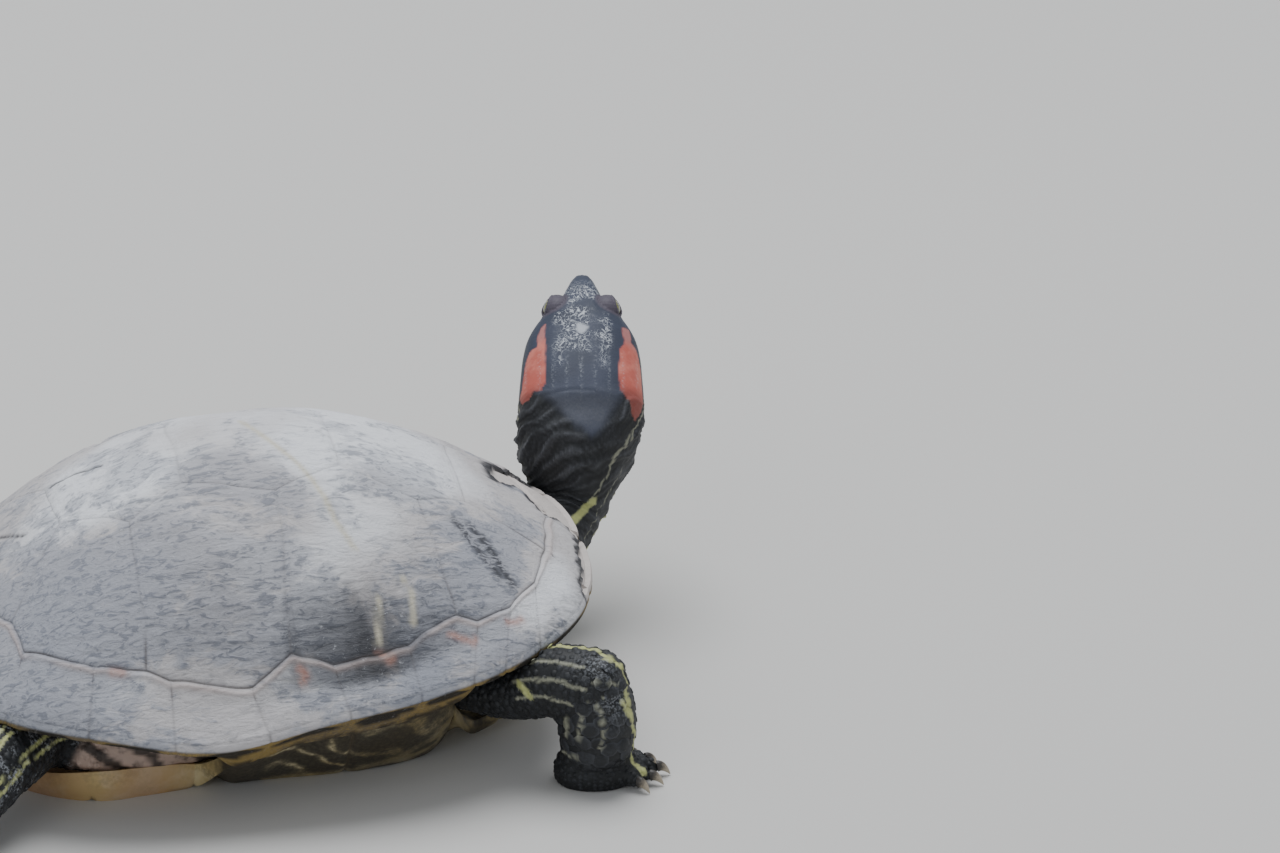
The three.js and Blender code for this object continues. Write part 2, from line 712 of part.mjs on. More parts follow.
function eyeBall(side, grow) {
  const centre = headBase.clone()
    .addScaledVector(headDirection, eye.along)
    .addScaledVector(headAside, side * eye.aside)
    .addScaledVector(headUp, eye.up);
  return ball(centre, eye.radius + grow, eye.sides);
}

function headGeometry() {
  const [[, half, top, bottom], ...others] = headSections;
  const rings = [[gap, half, top, bottom], ...others].map((section) => headRing(section, head.sides));
  const solid = toManifold(ringSolid(rings));
  const [left, right] = [1, -1].map((side) => toManifold(eyeBall(side, gap)));
  return fromManifold(solid.subtract(left).subtract(right));
}

function neckGeometry(trunkSpace) {
  const rings = tubeRings(neckPath, { sides: neckSides, endDirection: headDirection });
  rings[rings.length - 1] = headRing(headSections[0], neckSides);
  return fromManifold(toManifold(ringSolid(rings)).subtract(trunkSpace));
}

function tailGeometry(trunkSpace) {
  const solid = toManifold(ringSolid(tubeRings(tailPath, { sides: tailSides })));
  return fromManifold(solid.subtract(trunkSpace));
}

// ---------------------------------------------------------------- limbs, paws, claws

// Places a point of a paw, given ahead, aside and up, on the floor.
function pawPoint(paw, ahead, aside, up) {
  const yaw = THREE.MathUtils.degToRad(paw.yaw);
  return point(
    paw.at[0] + ahead * Math.cos(yaw) - aside * Math.sin(yaw),
    paw.at[1] + ahead * Math.sin(yaw) + aside * Math.cos(yaw),
    up,
  );
}

// The middle line of one toe, from inside the paw to its tip. Outer toes are shorter.
function toeLine({ paw, toes }, index) {
  const place = index / (toes.count - 1) - 0.5;
  const turn = THREE.MathUtils.degToRad(toes.spread * place);
  const reach = toes.reach * (1 - 0.36 * Math.abs(place));
  const at = (distance, up) => pawPoint(paw, distance * Math.cos(turn), distance * Math.sin(turn), up);
  return { root: at(reach * 0.3, toes.radius + 1.6), tip: at(reach, toes.radius) };
}

const floorBlock = new THREE.BoxGeometry(600, 600, 60).translate(0, 0, -30);

// Two tubes with a ball between them, a paw that stands on the floor, and its toes. The
// trunk and the rim above press the limb flat where they meet it.
function limbGeometry(limb, bodySpace) {
  const { upper, lower, paw, toes } = limb;
  const [x, y, z, radius] = lower[0];
  const end = lower.at(-1);
  const aside = point(-(end[1] - upper[0][1]), end[0] - upper[0][0], 0).normalize();
  const pawBall = ball(point(0, 0, 0), 1, limbSides);
  pawBall.scale(paw.length, paw.width, paw.height);
  pawBall.rotateZ(THREE.MathUtils.degToRad(paw.yaw));
  pawBall.translate(...pawPoint(paw, 0, 0, paw.height * 0.45).toArray());
  const parts = [ball(point(x, y, z), radius, limbSides), pawBall];
  for (const path of [upper, lower]) {
    parts.push(ringSolid(tubeRings(path, { sides: limbSides, aside })));
  }
  for (let i = 0; i < toes.count; i += 1) {
    const { root, tip } = toeLine(limb, i);
    const direction = tip.clone().sub(root).normalize();
    const ring = (centre, share) => (
      sectionRing({ centre, direction, size: evenSize(toes.radius * share), sides: toeSides })
    );
    parts.push(ringSolid([ring(root, 1.2), ring(tip, 0.8)]));
  }
  const solid = parts.map(toManifold).reduce((whole, piece) => whole.add(piece));
  return fromManifold(solid.subtract(toManifold(floorBlock)).subtract(bodySpace));
}

// A claw from the tip of a toe, bent down to just over the floor.
function clawGeometry(limb, index) {
  const { root, tip } = toeLine(limb, index);
  const size = limb.toes.claw;
  const thick = limb.toes.radius * clawThickness;
  const direction = tip.clone().sub(root).normalize();
  const level = point(direction.x, direction.y, 0).normalize();
  const base = tip.clone().addScaledVector(direction, gap);
  const middle = base.clone().addScaledVector(direction, size * 0.45).add(point(0, 0, 0.5));
  const end = base.clone().addScaledVector(level, size * 0.95).setZ(0.5);
  const ring = (centre, way, radius) => (
    sectionRing({ centre, direction: way, size: evenSize(radius), sides: toeSides })
  );
  return ringSolid([
    ring(base, direction, thick),
    ring(middle, direction, thick * 0.75),
    ring(end, level, 0.3),
  ]);
}

// ---------------------------------------------------------------- the turtle

const turtle = new THREE.Group();

function addPiece(name, geometry, color, roughness) {
  const material = new THREE.MeshStandardMaterial({ color, roughness, metalness: 0 });
  const mesh = new THREE.Mesh(geometry, material);
  mesh.geometry.computeVertexNormals();
  mesh.name = name;
  turtle.add(mesh);
}

for (const [name, geometry] of Object.entries(carapacePlates())) {
  addPiece(name, geometry, colour.dustyShell, 0.8);
}
for (const [sideName, side] of [['left', 1], ['right', -1]]) {
  for (const [runName, [first, last]] of Object.entries(marginalRuns)) {
    addPiece(`marginals_${runName}_${sideName}`, marginalRun(first, last, side), colour.dustyRim, 0.75);
  }
}
for (const [name, geometry] of Object.entries(plastronPlates())) {
  addPiece(name, geometry, colour.plastronYellow, 0.5);
}

const trunkSpace = toManifold(trunkGeometry(gap + 0.05));
addPiece('trunk', trunkGeometry(0), colour.skin, 0.6);
addPiece('neck', neckGeometry(trunkSpace), colour.skin, 0.55);
addPiece('head', headGeometry(), colour.headSkin, 0.5);
addPiece('tail', tailGeometry(trunkSpace), colour.skin, 0.6);
for (const [sideName, side] of [['left', 1], ['right', -1]]) {
  addPiece(`eye_${sideName}`, eyeBall(side, 0), colour.eyeball, 0.1);
}
for (const [name, limb] of Object.entries(limbs)) {
  const frontRim = marginalRun(...marginalRuns.front, Math.sign(limb.paw.at[1]));
  const rimSpace = toManifold(frontRim.translate(0, 0, -gap));
  addPiece(name, limbGeometry(limb, trunkSpace.add(rimSpace)), colour.skin, 0.6);
  for (let i = 0; i < limb.toes.count; i += 1) {
    addPiece(`claw_${name}_${i + 1}`, clawGeometry(limb, i), colour.claw, 0.45);
  }
}

export default turtle;
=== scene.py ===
"""A red-eared slider turtle, life size, as a still museum model.

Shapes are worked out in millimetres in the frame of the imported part: +X is the way the shell
points, +Y the turtle's left, +Z up, with the origin on the floor under the belly plates. They
turn into metres only when a mesh is made. The shell and the body repeat the sizes and formulas
of the solids and add the relief, folds, scales and markings.
"""

import logging
import math
from dataclasses import dataclass, field
from enum import Enum
from functools import reduce
from itertools import product
from typing import Callable, Optional, Sequence, Union

import bmesh
import bpy
import numpy as np
from mathutils import Matrix
from mathutils.kdtree import KDTree


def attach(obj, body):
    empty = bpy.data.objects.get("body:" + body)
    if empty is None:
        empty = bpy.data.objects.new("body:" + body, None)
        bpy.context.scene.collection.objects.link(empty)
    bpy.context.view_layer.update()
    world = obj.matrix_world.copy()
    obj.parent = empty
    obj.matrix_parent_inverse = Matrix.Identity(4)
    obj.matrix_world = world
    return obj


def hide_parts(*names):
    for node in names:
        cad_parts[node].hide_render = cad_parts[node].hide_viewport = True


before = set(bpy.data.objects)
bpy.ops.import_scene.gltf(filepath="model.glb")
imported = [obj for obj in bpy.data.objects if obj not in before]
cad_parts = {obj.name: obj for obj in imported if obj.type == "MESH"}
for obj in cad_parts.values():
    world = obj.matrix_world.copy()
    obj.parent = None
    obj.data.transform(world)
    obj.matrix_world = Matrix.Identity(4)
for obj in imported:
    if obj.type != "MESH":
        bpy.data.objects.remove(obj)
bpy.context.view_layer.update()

Array = np.ndarray
Number = Union[float, Array]
Point = Sequence[float]

METRES = 0.001
FAR = 99.0
Z_AXIS = np.array([0.0, 0.0, 1.0])
log = logging.getLogger("turtle")


# ---- array helpers


def mix(start: Number, end: Number, part: Number) -> Number:
    """Goes straight from start to end as part goes from 0 to 1."""
    return start + (end - start) * part


def smooth(value: Number, low: float, high: float) -> Array:
    """An S-curve from 0 at low to 1 at high: 3p^2 - 2p^3 of the clamped part p."""
    part = np.clip((np.asarray(value, float) - low) / (high - low), 0.0, 1.0)
    return part * part * (3.0 - 2.0 * part)


def bell(distance: Number, width: Number) -> Array:
    """A bell curve: 1 at distance 0, falling as exp(-(distance/width)^2)."""
    return np.exp(-((np.asarray(distance, float) / width) ** 2))


def fade(value: Number, low: float, high: float) -> Array:
    """An S-curve from 1 at low to 0 at high."""
    return 1.0 - smooth(value, low, high)


def wave(value: Array, gap: float) -> Array:
    """Humps of a width: |sin(pi value / gap)|."""
    return np.abs(np.sin(math.pi * value / gap))


def unit(vectors: Array) -> Array:
    """Vectors scaled to length 1 along their last axis."""
    size = np.linalg.norm(vectors, axis=-1, keepdims=True)
    return vectors / np.maximum(size, 1e-12)


def lattice(cell: Array, seed: int) -> Array:
    """A repeatable number in -1..1 for each whole-number cell, by mixing its bits."""
    x, y, z = (cell[..., k].astype(np.int64) for k in range(3))
    mixed = (x * 374761393 + y * 668265263 + z * 1440662683 + seed * 1274126177) & 0xFFFFFFFF
    mixed = ((mixed ^ (mixed >> 13)) * 1274126177) & 0xFFFFFFFF
    return ((mixed ^ (mixed >> 16)) & 0xFFFF) / 32767.5 - 1.0


def noise(points: Array, size: float, seed: int, octaves: int = 1) -> Array:
    """Smooth random relief: lattice values joined by S-curves, each octave half as big.

    Args:
        points: positions in millimetres, of shape (..., 3).
        size: the width of the largest lumps.
        seed: picks the pattern.
        octaves: how many times half-size lumps are added.

    Returns:
        Values of about -1..1, of shape (...).
    """
    total = np.zeros(points.shape[:-1])
    weight_sum = 0.0
    for octave in range(octaves):
        scaled = points * (2.0**octave / size)
        cell = np.floor(scaled)
        part = smooth(scaled - cell, 0.0, 1.0)
        weight = 0.5**octave
        for corner in product((0, 1), repeat=3):
            share = np.prod(np.where(np.array(corner) == 1, part, 1.0 - part), axis=-1)
            total += weight * share * lattice(cell + np.array(corner), seed + octave)
        weight_sum += weight
    return total / weight_sum


def plan_noise(plan: Array, size: float, seed: int, octaves: int) -> Array:
    """Noise at places [along, aside] of the shell seen from above."""
    return noise(np.concatenate([plan, 0 * plan[..., :1]], -1), size, seed, octaves)


def spline(table: Array, value: Array) -> Array:
    """A smooth curve through table rows [place, y...] by cubic Hermite steps.

    Args:
        table: rows of a place and one or more values.
        value: places to read.

    Returns:
        The values at each place, with one column for each of the table's.
    """
    knots, values = table[:, 0], table[:, 1:]
    slopes = np.gradient(values, knots, axis=0)
    span = np.clip(np.searchsorted(knots, value, side="right") - 1, 0, len(knots) - 2)
    width = knots[span + 1] - knots[span]
    part = np.clip((value - knots[span]) / width, 0.0, 1.0)[:, None]
    rise = width[:, None]
    return (
        (2 * part**3 - 3 * part**2 + 1) * values[span]
        + (part**3 - 2 * part**2 + part) * rise * slopes[span]
        + (3 * part**2 - 2 * part**3) * values[span + 1]
        + (part**3 - part**2) * rise * slopes[span + 1]
    )


def distance_to_line(points: Array, line: Sequence[Point]) -> Array:
    """Distance of each point to a broken line, in any number of dimensions.

    Args:
        points: places.
        line: the line's corners in order.

    Returns:
        Distances, one for each point.
    """
    corners = np.asarray(line, float)
    nearest = np.full(points.shape[:-1], np.inf)
    for start, end in zip(corners[:-1], corners[1:]):
        along = end - start
        part = np.clip(((points - start) @ along) / (along @ along), 0.0, 1.0)
        foot = start + part[..., None] * along
        nearest = np.minimum(nearest, np.linalg.norm(points - foot, axis=-1))
    return nearest


def inside(points: Array, corners: Sequence[Point]) -> Array:
    """Whether flat points lie in an outline: a line from each crosses it an odd number of times.

    Args:
        points: flat places.
        corners: the outline's corners.

    Returns:
        True where a place is inside.
    """
    outline = np.asarray(corners, float)
    found = np.zeros(points.shape[:-1], bool)
    x, y = points[..., 0], points[..., 1]
    for (x0, y0), (x1, y1) in zip(outline, np.roll(outline, -1, axis=0)):
        spans = (y0 > y) != (y1 > y)
        found ^= spans & (x < x0 + (y - y0) * (x1 - x0) / np.where(y1 == y0, 1.0, y1 - y0))
    return found


# ---- mesh helpers


def sheet_faces(
    rows: int, columns: int, round_about: bool = False, start: int = 0, end_to_end: bool = False
) -> Array:
    """Four-cornered faces of a grid of points, joined round its columns or its rows if asked.

    Args:
        rows: rows of points.
        columns: points in a row.
        round_about: joins the last column to the first.
        start: the first point's number.
        end_to_end: joins the last row to the first.

    Returns:
        Faces as four point numbers a row.
    """
    index = np.arange(rows * columns).reshape(rows, columns) + start
    if round_about:
        index = np.concatenate([index, index[:, :1]], axis=1)
    if end_to_end:
        index = np.concatenate([index, index[:1]], axis=0)
    corners_of = index[:-1, :-1], index[:-1, 1:], index[1:, 1:], index[1:, :-1]
    return np.stack(corners_of, -1).reshape(-1, 4)


@dataclass
class Surface:
    """Points in millimetres with their faces, and named numbers that each point carries."""

    points: Array
    faces: list[Array]
    marks: dict[str, Array] = field(default_factory=dict)

    def joined(self, other: "Surface") -> "Surface":
        """This surface and another with the same marks as one, still unconnected."""
        shift = len(self.points)
        points = np.concatenate([self.points, other.points])
        marks = {name: np.append(mine, other.marks[name]) for name, mine in self.marks.items()}
        return Surface(points, self.faces + [face + shift for face in other.faces], marks)

    def to_mesh(self, name: str) -> bpy.types.Mesh:
        """A mesh in metres with the marks as point attributes.

        Args:
            name: the mesh's name.

        Returns:
            The mesh.
        """
        mesh = bpy.data.meshes.new(name)
        faces = [corner for block in self.faces for corner in block.tolist()]
        mesh.from_pydata((self.points * METRES).tolist(), [], faces)
        for mark, values in self.marks.items():
            attribute = mesh.attributes.new(mark, "FLOAT", "POINT")
            attribute.data.foreach_set("value", np.ascontiguousarray(values, np.float32))
        mesh.update()
        return mesh


def turned_out(surface: Surface) -> Surface:
    """The same closed surface with its faces turned to point out.

    Args:
        surface: a closed surface.

    Returns:
        The same surface.
    """
    volume = 0.0
    for block in surface.faces:
        for k in range(1, block.shape[1] - 1):
            a, b, c = (surface.points[block[:, i]] for i in (0, k, k + 1))
            volume += np.einsum("ij,ij->", a, np.cross(b, c))
    if volume < 0:
        surface.faces = [block[:, ::-1] for block in surface.faces]
    return surface


def ring_surface(rings: Array, marks: Optional[dict[str, Array]] = None) -> Surface:
    """A closed surface through rings of shape (rows, columns, 3), with a fan at each end.

    Args:
        rings: the rings in order.
        marks: numbers for the rings' points by name.

    Returns:
        The surface, facing out.
    """
    rows, columns, _ = rings.shape
    points = np.concatenate([rings.reshape(-1, 3), rings[:1].mean(1), rings[-1:].mean(1)])
    first, last = rows * columns, rows * columns + 1
    around = np.arange(columns)
    after = (around + 1) % columns
    tail = (rows - 1) * columns
    fans = np.concatenate([
        np.stack([np.full(columns, first), after, around], -1),
        np.stack([np.full(columns, last), tail + around, tail + after], -1),
    ])
    kept = {}
    for name, values in (marks or {}).items():
        ends = [values[0].mean(), values[-1].mean()]
        kept[name] = np.concatenate([values.reshape(-1), ends])
    return turned_out(Surface(points, [sheet_faces(rows, columns, True), fans], kept))


def grid_normals(grid: Array) -> Array:
    """Unit normals of a grid of points, from the slopes along its two directions."""
    along, across = np.gradient(grid, axis=0), np.gradient(grid, axis=1)
    return unit(np.cross(along, across))


def added(name: str, data: bpy.types.ID) -> bpy.types.Object:
    """An object of a mesh, a lamp or a camera, linked to the scene."""
    made = bpy.data.objects.new(name, data)
    bpy.context.scene.collection.objects.link(made)
    return made


@dataclass
class Studio:
    """Makes finished pieces, hangs them under the body's empty and hides the solids they stand for.
    """

    body: str = "root"

    def piece(
        self,
        name: str,
        shape: Union[Surface, bpy.types.Mesh],
        finish: "Finish",
        nodes: Sequence[str] = (),
        sharp: float = 60.0,
    ) -> bpy.types.Object:
        """Adds one piece of the turtle.

        Args:
            name: the piece's name.
            shape: its surface or its mesh.
            finish: what its material is made by.
            nodes: the solids it stands for.
            sharp: edges bent by more degrees than this stay sharp.

        Returns:
            The piece's object.
        """
        mesh = shape if isinstance(shape, bpy.types.Mesh) else shape.to_mesh(name)
        mesh.name = name
        mesh.polygons.foreach_set("use_smooth", np.ones(len(mesh.polygons), bool))
        mesh.set_sharp_from_angle(angle=math.radians(sharp))
        mesh.materials.clear()
        mesh.materials.append(finish.material())
        made = added(name, mesh)
        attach(made, self.body)
        if nodes:
            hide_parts(*nodes)
        log.info("%s: %d faces", name, len(mesh.polygons))
        return made


# ---- shader maths


def math_node(operation: str, swapped: bool = False) -> Callable:
    """An operator of wires: one Math node, its two inputs swapped for the reflected form.

    Args:
        operation: the Math node's operation.
        swapped: whether the wire comes second.

    Returns:
        The method.
    """

    def method(self: "Wire", other: "Feed") -> "Wire":
        """The result of the Math node."""
        feeds = {0: other, 1: self} if swapped else {0: self, 1: other}
        return self.graph.node("ShaderNodeMath", {"operation": operation}, feeds)

    return method


@dataclass
class Wire:
    """A number, colour or vector that runs between shader nodes."""

    graph: "Graph"
    socket: bpy.types.NodeSocket

    __add__, __radd__ = math_node("ADD"), math_node("ADD", swapped=True)
    __sub__, __rsub__ = math_node("SUBTRACT"), math_node("SUBTRACT", swapped=True)
    __mul__, __rmul__ = math_node("MULTIPLY"), math_node("MULTIPLY", swapped=True)
    larger = math_node("MAXIMUM")

    def near(self, value: float, width: float) -> "Wire":
        """1 at a value, falling straight to 0 at a width from it."""
        return 1.0 - (self - value).larger(value - self) * (1.0 / width)

    def step(self, low: float, high: float) -> "Wire":
        """An S-curve from 0 at low to 1 at high.

        Args:
            low: where it leaves 0.
            high: where it reaches 1.

        Returns:
            The curve's wire.
        """
        return self.graph.node(
            "ShaderNodeMapRange",
            {"interpolation_type": "SMOOTHSTEP"},
            {"Value": self, "From Min": low, "From Max": high},
        )


Feed = Union[Wire, float, Sequence[float]]


class Graph:
    """A material's nodes."""

    def __init__(self, name: str) -> None:
        """Starts a material with its Principled shader."""
        self.owner = bpy.data.materials.new(name)
        self.owner.use_nodes = True
        self.tree = self.owner.node_tree
        self.shader = self.tree.nodes["Principled BSDF"]
        self.places: dict[tuple, Wire] = {}

    def node(self, kind: str, settings: dict, feeds: dict, output: Union[int, str] = 0) -> Wire:
        """Adds a node.

        Args:
            kind: the node's type.
            settings: its own properties, set before its sockets are fed.
            feeds: values or wires by socket name or number.
            output: the name or number of the output that is wanted.

        Returns:
            That output.
        """
        made = self.tree.nodes.new(kind)
        for key, value in settings.items():
            setattr(made, key, value)
        for key, value in feeds.items():
            self.feed(made.inputs[key], value)
        return Wire(self, made.outputs[output])

    def feed(self, socket: bpy.types.NodeSocket, value: Feed) -> None:
        """Links a wire to a socket, or sets its number or colour.

        Args:
            socket: the socket.
            value: a wire, a number or a colour.
        """
        if isinstance(value, Wire):
            self.tree.links.new(value.socket, socket)
        elif socket.type == "RGBA" and len(value) == 3:
            socket.default_value = (*value, 1.0)
        else:
            socket.default_value = value

    def mark(self, name: str) -> Wire:
        """A number that the mesh carries under a name."""
        return self.node("ShaderNodeAttribute", {"attribute_name": name}, {}, "Fac")

    def place(self, stretch: tuple[float, float, float] = (1.0, 1.0, 1.0)) -> Wire:
        """The place on the object, stretched along the axes.

        Args:
            stretch: factors along the three axes.

        Returns:
            The place's wire.
        """
        if stretch not in self.places:
            here = self.node("ShaderNodeTexCoord", {}, {}, "Object")
            self.places[stretch] = self.node(
                "ShaderNodeVectorMath", {"operation": "MULTIPLY"}, {0: here, 1: stretch}
            )
        return self.places[stretch]

    def grain(
        self,
        size: float,
        detail: float = 4.0,
        rough: float = 0.55,
        stretch: tuple[float, float, float] = (1.0, 1.0, 1.0),
        bend: float = 0.0,
    ) -> Wire:
        """Random grain with lumps of a size in metres, between 0 and 1.

        Args:
            size: the lumps' size.
            detail: how many finer layers it has.
            rough: their weight.
            stretch: factors along the axes.
            bend: how far the lumps are bent.

        Returns:
            The grain's wire.
        """
        return self.node(
            "ShaderNodeTexNoise",
            {"noise_dimensions": "3D"},
            {
                "Vector": self.place(stretch),
                "Scale": 1.0 / size,
                "Detail": detail,
                "Roughness": rough,
                "Distortion": bend,
            },
        )

    def blend(self, under: Feed, over: Feed, share: Feed) -> Wire:
        """One colour laid over another by a share."""
        settings = {"data_type": "RGBA", "clamp_factor": True}
        return self.node("ShaderNodeMix", settings, {0: share, 6: under, 7: over}, 2)

    def coats(self, colour: Feed, *coats: tuple[Feed, Feed]) -> Wire:
        """Colours laid over a first one in order, each by its share."""
        for over, share in coats:
            colour = self.blend(colour, over, share)
        return colour

    def relief(self, height: Wire, depth: float, strength: float = 1.0) -> None:
        """Bumps of a depth in metres on the shader's normal."""
        feeds = {"Strength": strength, "Distance": depth, "Height": height}
        bump = self.node("ShaderNodeBump", {}, feeds)
        self.feed(self.shader.inputs["Normal"], bump)

    def finish(self, feeds: dict) -> bpy.types.Material:
        """Feeds the shader's own sockets and returns the material."""
        for key, value in feeds.items():
            self.feed(self.shader.inputs[key], value)
        return self.owner


Colour = tuple[float, float, float]


class Finish:
    """A material made once and shared by its pieces."""

    name = "plain"
    _made: Optional[bpy.types.Material] = None

    def material(self) -> bpy.types.Material:
        """The finished material."""
        if self._made is None:
            self._made = self.build(Graph(self.name))
        return self._made

    def build(self, graph: Graph) -> bpy.types.Material:
        """Wires the material's nodes."""
        raise NotImplementedError


# ---- shell surface


@dataclass(frozen=True)
class ShellShape:
    """The carapace's outline and dome. Plan sizes are fractions of its length."""

    length: float = 240.0
    pitch: float = math.radians(1.1)
    lift: float = 3.0
    half_width: float = 0.40
    widest_at: float = 0.575
    front_roundness: float = 2.75
    rear_roundness: float = 2.5
    rim_height: float = 0.165
    rim_front_rise: float = 0.05
    rim_rear_rise: float = 0.015
    rim_dip: float = 0.03
    rim_dip_at: float = 0.6
    rim_dip_width: float = 0.13
    top_height: float = 0.44
    apex_at: float = 0.475
    thickness: float = 4.5
    fall_front: tuple[float, float] = (1.32, -0.5)
    fall_side: tuple[float, float] = (0.9, 0.48)
    fall_rear: tuple[float, float] = (0.95, 0.25)
    search_steps: int = 30

    def outline(self, turn: Array) -> tuple[Array, Array]:
        """A point of the outline: turn 0 is the front of the keel and 1 its rear.

        Args:
            turn: turns along the outline.

        Returns:
            Distance from the front and aside.
        """
        swing = np.cos(turn * math.pi)
        power = 2.0 / np.where(swing > 0, self.front_roundness, self.rear_roundness)
        reach = np.abs(swing) ** power
        aside = self.half_width * np.abs(np.sin(turn * math.pi)) ** power
        front = self.widest_at * (1 - reach)
        rear = self.widest_at + (1 - self.widest_at) * reach
        return np.where(swing > 0, front, rear), aside

    def outline_width(self, along: Array) -> Array:
        """The outline's half width at a distance from the front.

        Args:
            along: distance from the front in shell lengths.

        Returns:
            Half widths.
        """
        before = along < self.widest_at
        span = np.where(before, self.widest_at, 1 - self.widest_at)
        power = np.where(before, self.front_roundness, self.rear_roundness)
        part = np.minimum(1.0, np.abs(along - self.widest_at) / span)
        return self.half_width * (1 - part**power) ** (1 / power)

    def outline_end(self, aside: Array, rear: bool) -> Array:
        """Distance from the front of the front or the rear outline at a half width."""
        power = self.rear_roundness if rear else self.front_roundness
        part = (1 - (aside / self.half_width) ** power) ** (1 / power)
        return self.widest_at + (1 - self.widest_at) * part if rear else self.widest_at * (1 - part)

    def rim(self, along: Array) -> Array:
        """Height of the rim: level, higher in front and behind, with a dip over the bridge."""
        front = self.rim_front_rise * np.maximum(0.0, 1 - along / 0.5) ** 2
        rear = self.rim_rear_rise * np.maximum(0.0, (along - 0.6) / 0.4) ** 2
        dip = self.rim_dip * bell(along - self.rim_dip_at, self.rim_dip_width)
        return self.rim_height + front + rear - dip

    def radius(self, along: Array, aside: Array) -> tuple[Array, Array]:
        """The part of the way from the apex to the rim, and how far back the rim point lies.

        The outline's turn is halved towards the direction of the point until they agree.

        Args:
            along: distance from the front in shell lengths.
            aside: distance from the keel.

        Returns:
            The part, and the rim point's distance from the front.
        """
        angle = np.arctan2(np.abs(aside), self.apex_at - along)
        low, high = np.zeros_like(angle), np.ones_like(angle)
        for _ in range(self.search_steps):
            middle = (low + high) / 2
            rim_along, rim_aside = self.outline(middle)
            short = np.arctan2(rim_aside, self.apex_at - rim_along) < angle
            low, high = np.where(short, middle, low), np.where(short, high, middle)
        rim_along, rim_aside = self.outline(low)
        reach = np.hypot(rim_along - self.apex_at, rim_aside)
        return np.hypot(along - self.apex_at, aside) / reach, rim_along

    def dome(self, along: Array, aside: Array) -> Array:
        """Height of the dome: it falls with the 2nd, 4th and 8th powers of the radius.

        Args:
            along: distance from the front in shell lengths.
            aside: distance from the keel.

        Returns:
            Heights in shell lengths.
        """
        part, rim_along = self.radius(along, aside)
        ahead = self.apex_at - along
        share = ahead**2 / np.maximum(ahead**2 + aside**2, 1e-12)
        end = [np.where(ahead > 0, f, r) for f, r in zip(self.fall_front, self.fall_rear)]
        second = mix(self.fall_side[0], end[0], share)
        fourth = mix(self.fall_side[1], end[1], share)
        fall = second * part**2 + fourth * part**4 + (1 - second - fourth) * part**8
        rim = self.rim(rim_along)
        return rim + (self.top_height - rim) * (1 - fall)

    def place(self, along: Array, aside: Array, height: Array) -> Array:
        """From shell fractions to millimetres, with the shell's pitch.

        Args:
            along: distance from the front in shell lengths.
            aside: distance from the keel.
            height: height.

        Returns:
            Places in millimetres.
        """
        x = (0.5 - along) * self.length
        z = height * self.length
        cos, sin = math.cos(self.pitch), math.sin(self.pitch)
        return np.stack(
            [x * cos - z * sin, aside * self.length + 0 * x, x * sin + z * cos + self.lift], -1
        )


SHELL = ShellShape()

CORNER = {
    "nuchal_rear": (0.055, 0.022), "m1m2": (0.082, 0.140), "m2m3": (0.106, 0.212),
    "m3m4": (0.154, 0.266), "m4m5": (0.207, 0.291), "c1c2": (0.238, 0.288),
    "m5m6": (0.314, 0.323), "m6m7": (0.424, 0.340), "c2c3": (0.480, 0.320),
    "m7m8": (0.546, 0.343), "m8m9": (0.654, 0.333), "c3c4": (0.687, 0.321),
    "m9m10": (0.763, 0.303), "m10": (0.805, 0.276), "m10m11": (0.856, 0.238),
    "c4v5": (0.862, 0.182), "m11m12": (0.905, 0.105), "m12_rear": (0.925, 0.0),
    "v1v2": (0.187, 0.105), "v2": (0.262, 0.138), "v2v3": (0.370, 0.100), "v3": (0.470, 0.145),
    "v3v4": (0.600, 0.105), "v4": (0.683, 0.140), "v4v5": (0.780, 0.065),
}
NUCHAL_HALF_WIDTH = 0.017
MARGINAL_SEAM_AT = (
    0, 0.020, 0.118, 0.175, 0.225, 0.305, 0.410, 0.527, 0.662, 0.782, 0.893, 0.968, 1,
)


def corners(*names: str) -> Array:
    """Seam corners by name. A name with a minus in front is mirrored to the right side.

    Args:
        names: the corners' names.

    Returns:
        Their shell places, one a row.
    """
    rows = []
    for name in names:
        along, aside = CORNER[name.lstrip("-")]
        rows.append((along, -aside if name.startswith("-") else aside))
    return np.array(rows)


def on_line(line: Array, part: Array) -> Array:
    """Points on a broken line whose corners are spread evenly over 0 to 1."""
    knots = np.linspace(0, 1, len(line))
    return np.stack([np.interp(part, knots, line[:, 0]), np.interp(part, knots, line[:, 1])], -1)


def crowded(count: int, pull: float) -> Array:
    """Numbers from 0 to 1 that crowd towards both ends: t - pull sin(2 pi t)/(2 pi)."""
    even = np.linspace(0, 1, count)
    return even - pull * np.sin(2 * math.pi * even) / (2 * math.pi)


